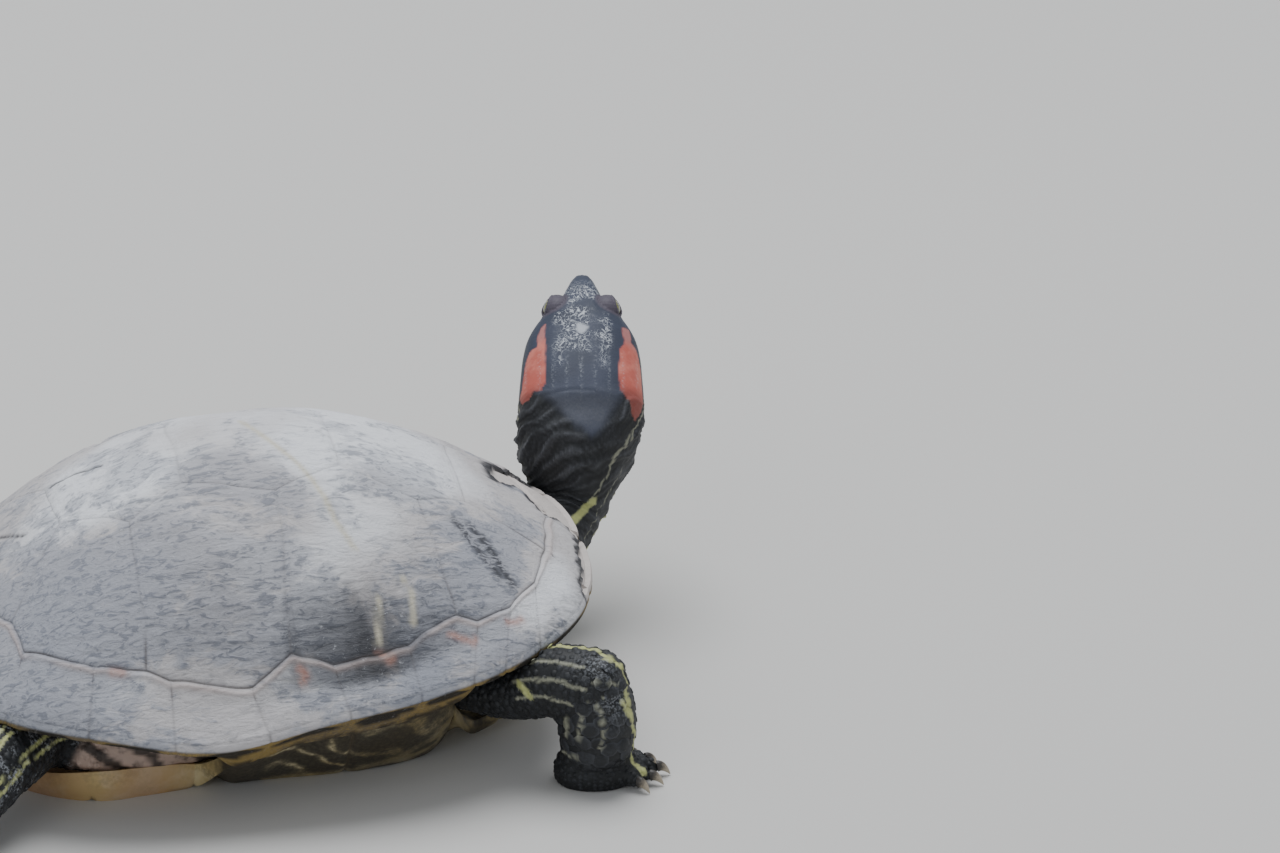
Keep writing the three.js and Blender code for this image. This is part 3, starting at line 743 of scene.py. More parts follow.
@dataclass(frozen=True)
class HornRelief:
    """The small relief of the horn plates, in millimetres."""

    waver: float = 0.0045
    waver_size: float = 0.055
    groove_depth: float = 0.30
    groove_width: float = 0.75
    shoulder: float = 0.22
    ring_depth: float = 0.09
    ring_gap: float = 1.7
    wrinkle_depth: float = 0.55
    lump_depth: float = 0.45

    def wavering(self, plan: Array) -> Array:
        """Seam points moved a little aside, so that no seam is quite straight."""
        shift = np.stack([plan_noise(plan, self.waver_size, seed, 2) for seed in (11, 23)], -1)
        calm = smooth(np.abs(plan[..., 1]), 0.004, 0.03)[..., None]
        return plan + self.waver * shift * (0.4 + 0.6 * calm)

    def height(self, points: Array, to_seam: Array, strength: Array) -> Array:
        """Relief over a plate.

        A groove runs along the seams, growth rings follow it inwards, lengthwise wrinkles and
        broad lumps cover the rest.

        Args:
            points: places on the shell.
            to_seam: distance to the nearest seam.
            strength: how strong the wrinkles are.

        Returns:
            Height over the smooth shell.
        """
        groove = -self.groove_depth * bell(to_seam, self.groove_width)
        shoulder = -self.shoulder * fade(to_seam, 0.0, 5.0)
        wander = noise(points, 9.0, 5, 2)
        rings = self.ring_depth * np.sin(2 * math.pi * (to_seam / self.ring_gap + 0.6 * wander))
        rings = rings * np.exp(-to_seam / 9.0) * smooth(to_seam, 0.8, 2.0)
        bent = points * np.array([0.24, 1.0, 1.0]) + 0.25 * wander[..., None]
        patches = smooth(noise(points, 26.0, 41, 2), -0.35, 0.25)
        wrinkles = self.wrinkle_depth * noise(bent, 2.5, 31, 2) * patches * strength
        lumps = self.lump_depth * noise(points, 22.0, 51, 2) * smooth(to_seam, 0.0, 7.0)
        return groove + shoulder + rings + wrinkles * smooth(to_seam, 0.5, 3.0) + lumps


RELIEF = HornRelief()


def edge_distances(grid: Array) -> tuple[Array, Array, Array, Array]:
    """Distance along the surface from each point of a grid to its four edges.

    Args:
        grid: points of shape (rows, columns, 3).

    Returns:
        Distances to the first and last row and the first and last column.
    """
    down = np.linalg.norm(np.diff(grid, axis=0), axis=-1)
    over = np.linalg.norm(np.diff(grid, axis=1), axis=-1)
    first = np.concatenate([np.zeros_like(down[:1]), np.cumsum(down, 0)], 0)
    left = np.concatenate([np.zeros_like(over[:, :1]), np.cumsum(over, 1)], 1)
    return first, first[-1:] - first, left, left[:, -1:] - left


@dataclass(frozen=True)
class Wear:
    """Marks of age on this shell, as lines of [distance from the front, distance aside]."""

    pale_lines: tuple = (
        (
            (0.493, 0.031), (0.472, -0.026), (0.426, -0.108), (0.405, -0.152), (0.393, -0.193),
            (0.371, -0.227),
        ),
        ((0.349, -0.281), (0.352, -0.300), (0.357, -0.323)),
        ((0.299, -0.270), (0.304, -0.301)),
        ((0.307, -0.257), (0.307, -0.259)),
    )
    scratches: tuple = (
        ((0.214, -0.160), (0.188, -0.197), (0.162, -0.225)),
        ((0.192, -0.160), (0.166, -0.198), (0.147, -0.229)),
        ((0.178, -0.170), (0.158, -0.205)),
    )
    cracks: tuple = (
        ((0.772, 0.055), (0.735, 0.045), (0.701, 0.025)),
        ((0.854, 0.02), (0.824, -0.032)),
    )
    orange: tuple = (
        ((0.478, -0.338), (0.468, -0.346), (0.474, -0.352)),
        ((0.357, -0.335), (0.348, -0.342), (0.343, -0.338)),
        ((0.255, -0.312), (0.240, -0.314), (0.224, -0.318), (0.219, -0.313)),
        ((0.168, -0.285), (0.154, -0.283), (0.146, -0.278)),
        ((0.742, -0.314), (0.726, -0.318)),
    )
    zones: tuple = (
        (0.765, -0.190, 26.0, 1.0), (0.655, -0.215, 15.0, 0.6), (0.467, -0.159, 13.0, 0.7),
        (0.192, -0.190, 17.0, 1.0), (0.30, -0.275, 14.0, 0.4), (0.855, -0.300, 14.0, 0.5),
        (0.56, -0.10, 12.0, 0.5), (0.33, -0.12, 10.0, 0.5), (0.305, -0.350, 11.0, 1.0),
        (0.135, -0.252, 11.0, -0.7), (0.075, -0.190, 14.0, -0.8), (0.41, -0.24, 12.0, -0.35),
        (0.43, -0.09, 15.0, -0.6),
    )
    chip: tuple = (
        (0.122, 0.072), (0.120, 0.028), (0.102, 0.040), (0.091, 0.053), (0.071, 0.049),
        (0.066, 0.026), (0.058, 0.001), (0.048, -0.004), (0.028, 0.005), (0.018, 0.004),
        (0.014, -0.030), (0.023, -0.085), (0.030, -0.140), (0.036, -0.182), (0.030, -0.200),
        (-0.03, -0.15), (-0.03, 0.22), (0.052, 0.205), (0.066, 0.180), (0.092, 0.150),
        (0.114, 0.115),
    )
    chip_depth: float = 1.9
    dark_bands: tuple = ((0.62, 0.24, 0.76, 0.26, 0.38), (0.19, 0.09, 0.70, 0.22, 0.36))

    def depth_in_chip(self, plan: Array) -> Array:
        """Distance into the chipped place in millimetres, less than 0 outside it."""
        away = distance_to_line(plan, self.chip + self.chip[:1]) * SHELL.length
        ragged = 1.7 * plan_noise(plan, 0.012, 71, 3)
        return np.where(inside(plan, self.chip), away, -away) + ragged


WEAR = Wear()


def along_lines(plan: Array, lines: Sequence[Sequence[Point]], width: float) -> Array:
    """How close shell places lie to any of some lines, from 0 to 1.

    Args:
        plan: shell places.
        lines: the lines.
        width: their half width in millimetres.

    Returns:
        The closeness of each place.
    """
    size = SHELL.length
    wavy = plan * size + 0.7 * plan_noise(plan, 0.02, 75, 2)[..., None]
    return np.maximum.reduce([
        bell(distance_to_line(wavy, np.array(line) * size), width) for line in lines
    ])


def shell_marks(plan: Array, to_seam: Array, points: Array) -> dict[str, Array]:
    """What the shell's finish reads: seams, dust, streaks, scratches, worn edges, cracks, and a
    painted shadow along the chip's torn edge.

    Args:
        plan: fractions of the length from the front and aside.
        to_seam: distance to the nearest seam in millimetres.
        points: places on the shell.

    Returns:
        Marks by name, each of about 0..1.
    """
    part, rim_along = SHELL.radius(plan[..., 0], plan[..., 1])
    chip = WEAR.depth_in_chip(plan)
    down = np.stack([rim_along * SHELL.length, 12.0 * part, 0 * part], -1)
    streak = smooth(noise(down, 6.0, 121, 3), -0.40, 0.45)
    dark = 0.98 * bell(rim_along - 0.370, 0.19) * smooth(part, 0.53, 0.84) * (0.80 + 0.20 * streak)
    for at, wide, ring, thick, share in WEAR.dark_bands:
        dark = np.maximum(dark, share * bell(rim_along - at, wide) * bell(part - ring, thick))
    breaks = smooth(noise(points, 15.0, 123, 2), -0.55, 0.35)
    # width of the painted shadow along the chip's torn edge, narrower on the right
    edge_shadow_width = mix(1.1, 2.1, smooth(noise(points, 6.0, 127, 2), -0.5, 0.4))
    edge_shadow_width = mix(0.7, edge_shadow_width, smooth(plan[..., 1], -0.12, 0.0))
    low_seams = mix(0.30, 1.0, smooth(part, 0.72, 0.80))
    return {
        "seam": bell(to_seam, 0.5) * (0.25 + 0.75 * breaks) * low_seams,
        "low": smooth(part, 0.40, 0.96),
        "dark": dark,
        "pale": along_lines(plan, WEAR.pale_lines, 1.0),
        "scratch": along_lines(plan, WEAR.scratches, 2.0),
        "orange": along_lines(plan, WEAR.orange, 1.1),
        # real cracks, and a painted shadow band just outside the chip's torn edge; both also sink a
        # shallow groove
        "crack": np.clip(along_lines(plan, WEAR.cracks, 0.6) + 1.4 * bell(chip + 0.6, edge_shadow_width), 0, 1),
        "zone": np.clip(sum(
            share * bell(np.linalg.norm(plan - np.array(middle), axis=-1) * SHELL.length, size)
            for *middle, size, share in WEAR.zones
        ), -1, 1),
        "worn": smooth(chip, -0.1, 0.5),
    }


@dataclass
class Scute:
    """A horn plate of the dome between four seams."""

    name: str
    inner: Array
    outer: Array
    front: Array
    rear: Array
    spacing: float = 0.8
    crowding: float = 0.55

    def plan(self, u: Array, v: Array) -> Array:
        """A Coons patch: the sum of the two ruled surfaces less the one through the corners.

        Args:
            u: parts along the plate.
            v: parts across it.

        Returns:
            Shell places of shape (u, v, 2).
        """
        inner, outer = on_line(self.inner, u)[:, None], on_line(self.outer, u)[:, None]
        front, rear = on_line(self.front, v)[None], on_line(self.rear, v)[None]
        u, v = u[:, None, None], v[None, :, None]
        cross = (
            (1 - u) * (1 - v) * self.inner[0]
            + (1 - u) * v * self.outer[0]
            + u * (1 - v) * self.inner[-1]
            + u * v * self.outer[-1]
        )
        return (1 - v) * inner + v * outer + (1 - u) * front + u * rear - cross

    def surface(self) -> Surface:
        """The plate as a closed surface with its relief and marks.

        Returns:
            Its top with relief and marks, its underside and its edge.
        """
        reach = SHELL.length * np.linalg.norm(self.inner[0] - self.inner[-1])
        reach = max(reach, SHELL.length * np.linalg.norm(self.outer[0] - self.outer[-1]))
        width = SHELL.length * np.linalg.norm(self.front[0] - self.front[-1]) * 1.15
        width = max(width, SHELL.length * np.linalg.norm(self.rear[0] - self.rear[-1]) * 1.15)
        rows, columns = (max(16, int(span / self.spacing)) for span in (reach, width))
        parts = crowded(rows, self.crowding), crowded(columns, self.crowding)
        plan = RELIEF.wavering(self.plan(*parts))
        height = SHELL.dome(plan[..., 0], plan[..., 1])
        smooth_top = SHELL.place(plan[..., 0], plan[..., 1], height)
        to_seam = np.minimum.reduce(edge_distances(smooth_top))
        normals = grid_normals(smooth_top)
        normals *= np.sign(normals[..., 2:])
        marks = shell_marks(plan, to_seam, smooth_top)
        relief = RELIEF.height(smooth_top, to_seam, 1.0) * (1 - 0.8 * marks["worn"])
        relief -= WEAR.chip_depth * marks["worn"] + 0.35 * marks["crack"]
        top = smooth_top + normals * relief[..., None]
        under = smooth_top - Z_AXIS * SHELL.thickness
        count = rows * columns
        faces = [sheet_faces(rows, columns), sheet_faces(rows, columns, start=count)[:, ::-1]]
        index = np.arange(count).reshape(rows, columns)
        edge = np.concatenate([index[0, :-1], index[:-1, -1], index[-1, :0:-1], index[:0:-1, 0]])
        after = np.roll(edge, -1)
        faces.append(np.stack([edge, edge + count, after + count, after], -1))
        both = {name: np.concatenate([v.ravel(), 0 * v.ravel()]) for name, v in marks.items()}
        both["under"] = np.repeat([0.0, 1.0], count)
        both["ink"] = 0.6 * both["under"]
        points = np.concatenate([top.reshape(-1, 3), under.reshape(-1, 3)])
        return turned_out(Surface(points, faces, both))


def mirrored(line: Array) -> Array:
    """A seam on the other side of the keel."""
    return line * np.array([1.0, -1.0])


def across(line: Array, row: int) -> Array:
    """A seam over the keel between a point of a line and its mirrored one."""
    return np.array([mirrored(line)[row], line[row]])


@dataclass
class Carapace:
    """The domed upper shell: nuchal, vertebral and costal plates and the rim."""

    finish: "ShellFinish"

    def plates(self) -> list[Scute]:
        """Every plate of the dome, named as its solid.

        Returns:
            The nuchal, five vertebrals and eight costals.
        """
        front_of_first = corners("-m1m2", "-nuchal_rear", "nuchal_rear", "m1m2")
        rear_of_last = corners("-c4v5", "-m11m12", "m12_rear", "m11m12", "c4v5")
        front_edge = float(SHELL.outline_end(np.array(NUCHAL_HALF_WIDTH), False))
        nuchal_side = np.array([(front_edge, NUCHAL_HALF_WIDTH), CORNER["nuchal_rear"]])
        ends = across(nuchal_side, 0), across(nuchal_side, 1)
        made = [Scute("nuchal", mirrored(nuchal_side), nuchal_side, *ends)]
        sides = [
            corners("m1m2", "v1v2"), corners("v1v2", "v2", "v2v3"), corners("v2v3", "v3", "v3v4"),
            corners("v3v4", "v4", "v4v5"), corners("v4v5", "c4v5"),
        ]
        for number, side in enumerate(sides, start=1):
            front = front_of_first if number == 1 else across(side, 0)
            rear = rear_of_last if number == len(sides) else across(side, -1)
            made.append(Scute(f"vertebral_{number}", mirrored(side), side, front, rear))
        costals = [
            (corners("m1m2", "v1v2", "v2"), corners("m2m3", "m3m4", "m4m5", "c1c2")),
            (corners("v2", "v2v3", "v3"), corners("c1c2", "m5m6", "m6m7", "c2c3")),
            (corners("v3", "v3v4", "v4"), corners("c2c3", "m7m8", "m8m9", "c3c4")),
            (corners("v4", "v4v5"), corners("c3c4", "m9m10", "m10", "m10m11", "c4v5")),
        ]
        for number, (inner, outer) in enumerate(costals, start=1):
            seams = [inner, outer, np.array([inner[0], outer[0]]), np.array([inner[-1], outer[-1]])]
            made.append(Scute(f"costal_left_{number}", *seams))
            made.append(Scute(f"costal_right_{number}", *map(mirrored, seams)))
        return made

    def build(self, studio: Studio) -> None:
        """Makes the plates and the rim.

        Args:
            studio: what adds the pieces.
        """
        for plate in self.plates():
            name, nodes = f"{plate.name}_plate", [plate.name]
            studio.piece(name, plate.surface(), self.finish, nodes)
        for side_name, side in (("left", 1.0), ("right", -1.0)):
            for run in RimRun:
                studio.piece(
                    f"rim_{run.name.lower()}_{side_name}",
                    Rim(side).surface(*run.value),
                    self.finish,
                    [f"marginals_{run.name.lower()}_{side_name}"],
                )


class RimRun(Enum):
    """Runs of marginal plates, from the first number up to the one before the last."""

    FRONT = (0, 4)
    BRIDGE = (4, 8)
    REAR = (8, 12)


MARGINAL_INNER = [
    corners("nuchal_rear", "m1m2"), corners("m1m2", "m2m3"), corners("m2m3", "m3m4"),
    corners("m3m4", "m4m5"), corners("m4m5", "c1c2", "m5m6"), corners("m5m6", "m6m7"),
    corners("m6m7", "c2c3", "m7m8"), corners("m7m8", "m8m9"), corners("m8m9", "c3c4", "m9m10"),
    corners("m9m10", "m10", "m10m11"), corners("m10m11", "c4v5", "m11m12"),
    corners("m11m12", "m12_rear"),
]


def bridge_share(along: Array) -> Array:
    """How far the underside belongs to the bridge: 1 along it, 0 at the legs."""
    return smooth(along, 0.195, 0.28) * fade(along, 0.56, 0.62)


def through_knots(knots: Sequence[Array], steps: int) -> Array:
    """A Catmull-Rom curve from the second knot to the last but one.

    Args:
        knots: arrays of shape (n, 3), one curve for each row.
        steps: points in each span.

    Returns:
        Points of shape (n, spans * steps, 3), without the last knot.
    """
    part = np.linspace(0, 1, steps, endpoint=False)[None, :, None]
    spans = []
    for before, start, end, after in zip(knots[:-3], knots[1:-2], knots[2:-1], knots[3:]):
        before, start, end, after = (k[:, None] for k in (before, start, end, after))
        spans.append(0.5 * (
            2 * start
            + (end - before) * part
            + (2 * before - 5 * start + 4 * end - after) * part**2
            + (3 * start - before - 3 * end + after) * part**3
        ))
    return np.concatenate(spans, axis=1)


@dataclass
class Rim:
    """The marginal plates of one side: a top that carries the dome on, an edge, an underside."""

    side: float
    shoulder: float = 0.93
    edge_drop: float = 2.2
    lip_depth: float = 4.6
    lip_part: float = 0.92
    under_part: float = 0.38
    under_depth: float = 3.4
    bridge_part: float = 0.02
    bridge_depth: float = 15.0
    rows: int = 34
    top_columns: int = 26
    edge_steps: int = 7

    def rim_point(self, number: int, part: Array) -> Array:
        """The point of the outline a part of the way along one marginal.

        Args:
            number: the marginal, counted from 0 in front.
            part: parts of its length.

        Returns:
            Shell places.
        """
        seams = MARGINAL_SEAM_AT
        if number == 0:
            aside = mix(NUCHAL_HALF_WIDTH, SHELL.outline_width(np.array(seams[1])), part)
            return np.stack([SHELL.outline_end(aside, False), aside], -1)
        if number == len(MARGINAL_INNER) - 1:
            aside = mix(SHELL.outline_width(np.array(seams[number])), 0.0, part)
            return np.stack([SHELL.outline_end(aside, True), aside], -1)
        along = mix(seams[number], seams[number + 1], part)
        return np.stack([along, SHELL.outline_width(along)], -1)

    def plate(self, number: int) -> Surface:
        """One marginal as a closed surface.

        Args:
            number: the marginal, counted from 0 in front.

        Returns:
            Its surface with relief and marks.
        """
        u = crowded(self.rows, 0.6)
        flip = np.array([1.0, self.side])
        inner = RELIEF.wavering(on_line(MARGINAL_INNER[number], u) * flip)
        rim = self.rim_point(number, u) * flip
        half = crowded(2 * self.top_columns, 0.6)[: self.top_columns] * 2
        v = np.unique(np.clip(np.append(half * self.shoulder, self.shoulder), 0, self.shoulder))
        plan = inner[:, None] + (rim - inner)[:, None] * v[None, :, None]
        top = SHELL.place(plan[..., 0], plan[..., 1], SHELL.dome(plan[..., 0], plan[..., 1]))
        low = SHELL.rim(rim[:, 0])
        share = bridge_share(rim[:, 0])

        def deep(part: Number, drop: Number) -> Array:
            """Places a part of the way to the edge and some millimetres below the rim."""
            at = inner + (rim - inner) * np.broadcast_to(part, low.shape)[:, None]
            return SHELL.place(at[:, 0], at[:, 1], low - drop / SHELL.length)

        under = deep(
            mix(self.under_part, self.bridge_part, share),
            mix(self.under_depth, self.bridge_depth, share),
        )
        inside = top[:, 0] - Z_AXIS * SHELL.thickness
        edge, low_lip = deep(1.0, self.edge_drop), deep(self.lip_part, self.lip_depth)
        knots = [top[:, -4], top[:, -1], edge, low_lip, under, inside]
        lower = through_knots(knots, self.edge_steps)
        ring = np.concatenate([top[:, :-1], lower, under[:, None], inside[:, None]], axis=1)
        count = top.shape[1] - 1
        on_top = np.arange(ring.shape[1]) < count + self.edge_steps // 2
        first, last, _, _ = edge_distances(ring)
        steps = np.diff(ring, axis=1, prepend=ring[:, :1])
        to_inner = np.cumsum(np.linalg.norm(steps, axis=-1), axis=1)
        to_seam = np.minimum(np.minimum(first, last), np.where(on_top, to_inner, FAR))
        normals = -grid_normals(ring) * self.side
        relief = RELIEF.height(ring, to_seam, np.where(on_top, 0.6, 0.0))
        lip = 0.55 * bell(to_inner - 2.1, 1.0) - 0.35 * bell(to_inner, 0.9)
        relief += np.where(on_top, lip, 0.0)
        ring_plan = np.stack([0.5 - ring[..., 0] / SHELL.length, ring[..., 1] / SHELL.length], -1)
        marks = shell_marks(ring_plan, to_seam, ring)
        over = to_inner / np.maximum(to_inner[:, count : count + 1], 1)
        marks["low"] = np.where(on_top, 0.62 + 0.38 * smooth(over, 0.3, 1.0), 1.0)
        marks["dark"] = marks["dark"] * on_top * (1 - 0.65 * smooth(over, 0.35, 0.7))
        marks["dark"] = np.maximum(marks["dark"], 0.40 * smooth(over, 0.35, 1.0) * on_top)
        marks["lip"] = bell(to_inner - 2.1, 1.2) * on_top
        marks["lip"] *= smooth(noise(ring, 16.0, 125, 2), -0.9, 0.3)
        between = to_inner > np.minimum(first, last)
        relief += between * on_top * 0.6 * RELIEF.groove_depth * bell(to_seam, RELIEF.groove_width)
        marks["seam"] *= np.where(between, 0.35, 1.0) * on_top + ~on_top * 0.6
        past = to_inner - to_inner[:, count : count + 1]
        marks["under"] = smooth(past, 3.0, 4.2)
        marks["ink"] = self.ink(u[:, None], past, ring)
        relief -= (WEAR.chip_depth * marks["worn"] + 0.3 * marks["crack"]) * on_top
        calm = np.ones(ring.shape[1])
        calm[-2:] = 0.0
        ring = ring + normals * (relief * calm)[..., None]
        return ring_surface(ring, marks)

    def ink(self, part: Array, past: Array, points: Array) -> Array:
        """Black ovals with yellow bands round them on the underside.

        Args:
            part: 0..1 along the plate.
            past: millimetres over the edge.
            points: the places.

        Returns:
            How black each place is.
        """
        ragged = 0.30 * noise(points, 7.0, 131, 3)
        oval = np.hypot((part - 0.5) / 0.44, (past - 7.5) / 4.4) + ragged
        streaks = smooth(noise(points * np.array([1.0, 0.4, 0.4]), 5.0, 133, 2), -0.1, 0.25)
        edge = fade(past + 2.0 * ragged, 3.2, 4.4)
        inked = np.maximum(fade(oval, 0.78, 0.96), edge)
        return np.clip(np.maximum(inked, 0.85 * streaks * smooth(past, 14.0, 16.5)), 0, 1)

    def surface(self, first: int, last: int) -> Surface:
        """A run of marginals as one piece."""
        return reduce(Surface.joined, map(self.plate, range(first, last)))


# ---- plastron


@dataclass
class Plastron:
    """The belly plates: two lobes and the bridge that climbs to the rim between them."""

    finish: "BellyFinish"
    names: tuple = ("gulars", "humerals", "pectorals", "abdominals", "femorals", "anals")
    seams: tuple = (0.06, 0.16, 0.24, 0.40, 0.62, 0.77, 0.95)
    lobe: tuple = (
        (0.06, 0.07), (0.10, 0.125), (0.16, 0.165), (0.24, 0.192), (0.34, 0.222), (0.60, 0.235),
        (0.70, 0.250), (0.745, 0.255), (0.81, 0.234), (0.86, 0.195), (0.91, 0.135), (0.95, 0.07),
    )
    edge_rise: tuple = (
        (0.06, 0), (0.56, 0), (0.62, 4.5), (0.70, 6.5), (0.745, 7), (0.86, 3), (0.95, 0),
    )
    bridge_seam: tuple = (
        "m3m4", "m4m5", "c1c2", "m5m6", "m6m7", "c2c3", "m7m8", "m8m9", "c3c4", "m9m10",
    )
    thickness: float = 6.0
    edge_flare: float = 0.05
    front_rise: float = 17.0
    rise_curve: float = 1.25
    floor_from: float = 0.30
    wall_from: float = 0.5
    bridge_flat: float = 0.235
    bridge_below: float = 15.0
    set_back: float = 1.2
    edge_bulge: float = 1.3
    spacing: float = 1.0
    columns: int = 132
    edge_steps: int = 7
    above_floor: float = 0.03

    def base(self, along: Array) -> Array:
        """Height of the underside: flat on the floor behind, rising to the front."""
        part = np.maximum(0, self.floor_from - along) / self.floor_from
        return self.front_rise * part**self.rise_curve

    def half(self, along: Array) -> Array:
        """Half width of the lobes in millimetres."""
        return spline(np.array(self.lobe), along)[:, 0] * SHELL.length

    def edge(self, along: Array) -> Array:
        """Where the bridge meets the underside of the marginals."""
        seam = corners(*self.bridge_seam)
        aside = np.interp(along, seam[:, 0], seam[:, 1])
        point = SHELL.place(along, aside, SHELL.rim(along) - self.bridge_below / SHELL.length)
        return point - np.array([0.0, self.set_back, 0.0])

    def sides(self, along: Array, across: Array) -> tuple[Array, Array]:
        """The lower and the upper side of the plates.

        Across is -1..1. The belly is flat to the knee and then climbs with the power 1.25,
        to the lobe's edge or up the bridge.

        Args:
            along: distance from the front in shell lengths.
            across: parts of the width, -1..1.

        Returns:
            Grids of the lower and the upper side.
        """
        share = bridge_share(along)
        half = self.half(along)
        edge = self.edge(along)
        base = self.base(along)
        reach = mix(half, edge[:, 1], share)
        top = mix(base, edge[:, 2], share)
        knee = mix(reach * self.wall_from, np.minimum(half, self.bridge_flat * SHELL.length), share)
        side = np.abs(across)[None]
        part = np.maximum(0, (side - self.wall_from) / (1 - self.wall_from))
        aside = mix(knee[:, None] * np.minimum(1, side / self.wall_from), reach[:, None], part)
        low = base[:, None] + (top - base)[:, None] * part**self.rise_curve
        x = np.broadcast_to(((0.5 - along) * SHELL.length)[:, None], low.shape)
        outer = np.stack([x, np.sign(across) * aside, low], -1)
        free = (1 - share)[:, None] * smooth(side, 0.86, 1.0)
        rise = np.maximum(0, spline(np.array(self.edge_rise, float), along)) * free
        inner = outer.copy()
        inner[..., 1] *= 1 + self.edge_flare * free
        inner[..., 2] += self.thickness + rise
        return outer, inner

    def plate(self, number: int) -> Surface:
        """One pair of plates, with grooves at its seams and along the midline.

        Args:
            number: the pair, counted from 0 in front.

        Returns:
            Its surface with relief and marks.
        """
        first, last = self.seams[number : number + 2]
        rows = int((last - first) * SHELL.length / self.spacing)
        along = mix(first, last, crowded(rows, 0.6))
        across = np.linspace(-1, 1, self.columns)
        outer, inner = self.sides(along, across)
        ahead, behind, _, _ = edge_distances(outer)
        waver = 0.8 * noise(outer * np.array([1.0, 0.0, 0.0]), 14.0, 61, 2)
        middle = np.abs(outer[..., 1] - waver)
        to_seam = np.minimum(np.minimum(ahead, behind), middle)
        normals = grid_normals(outer)
        normals *= -np.sign(normals[..., 2:] + 1e-9)
        relief = -0.5 * bell(to_seam, 0.7) - 0.35 * fade(to_seam, 0, 4.0)
        relief += 0.14 * noise(outer * np.array([1.0, 0.35, 1.0]), 7.0, 63, 2)
        outer = outer + normals * relief[..., None]
        outer[..., 2] = np.maximum(outer[..., 2], self.above_floor)
        bulges = []
        for column, way in ((-1, 1.0), (0, -1.0)):
            low, high = outer[:, column], inner[:, column]
            turn = np.linspace(0, 1, self.edge_steps)[1:-1][None, :, None]
            if way < 0:
                low, high = high, low
            wall = mix(low[:, None], high[:, None], turn)
            free = (1 - bridge_share(along))[:, None]
            wall[..., 1] += way * self.edge_bulge * free * np.sin(math.pi * turn[..., 0])
            bulges.append(wall)
        ring = np.concatenate([outer, bulges[0], inner[:, ::-1], bulges[1]], axis=1)
        u = (along - first) / (last - first)
        marks = self.marks(ring, number, np.broadcast_to(u[:, None], ring.shape[:2]), along)
        seam_mark = np.zeros(ring.shape[:2])
        seam_mark[:, : self.columns] = bell(to_seam, 0.55)
        marks["seam"] = seam_mark
        return ring_surface(ring, marks)

    def marks(self, ring: Array, number: int, part: Array, along: Array) -> dict[str, Array]:
        """Dark blotches, a reddish middle on the hind lobe and the bridge's black bars.

        Args:
            ring: the plates' points.
            number: the pair.
            part: parts along it.
            along: the rows' distance from the front in shell lengths.

        Returns:
            Marks by name.
        """
        share = np.broadcast_to(bridge_share(along)[:, None], ring.shape[:2])
        aside = np.abs(ring[..., 1])
        half = self.half(along)[:, None]
        ragged = noise(ring, 9.0, 67, 3)
        reach = np.hypot((part - 0.5) / 0.36, (aside / half - 0.52) / 0.30) + 0.45 * ragged
        blotch = fade(reach, 0.55, 0.85)
        ring_line = bell(reach - 1.1, 0.10) * 0.35
        on_wall = smooth(aside, 54.0, 62.0) * share
        bars = np.sin(ring[..., 0] * 0.17 + 0.30 * aside + 2.4 * noise(ring, 13.0, 69, 2))
        streaks = smooth(noise(ring * np.array([0.5, 1.0, 1.0]), 4.0, 70, 3), -0.2, 0.25)
        barred = 1 - bell(bars, 0.30) * (1 - 0.7 * streaks)
        ink = mix(np.maximum(blotch, ring_line), barred, on_wall)
        edge = smooth(aside / half, 0.80, 0.92) * (0.65 + 0.35 * streaks)
        ink = np.maximum(ink, edge * (number < 3))
        ink = ink * (1 - 0.75 * (number >= 4))
        wedge = fade(np.abs(along[:, None] + 0.006 * ragged - 0.556), 0.028, 0.038)
        ink = np.maximum(ink, wedge * smooth(aside / half, 0.78, 0.92))
        red = (1.0 if number == 5 else 0.8 * (number == 4)) * bell(aside / half - 0.80, 0.42)
        dirt = 1.0 if number < 4 else 0.45
        return {
            "ink": np.clip(ink, 0, 1),
            "red": np.clip(red * bell(part - 0.5, 0.5), 0, 1),
            "grime": np.maximum(dirt * smooth(noise(ring, 11.0, 73, 3), -0.1, 0.6), 0.8 * on_wall),
        }

    def build(self, studio: Studio) -> None:
        """Makes the six pairs of plates."""
        for number, name in enumerate(self.names):
            nodes = [f"plastron_{name}"]
            studio.piece(f"{name}_plate", self.plate(number), self.finish, nodes)


# ---- soft body


AT_ONCE = 20000


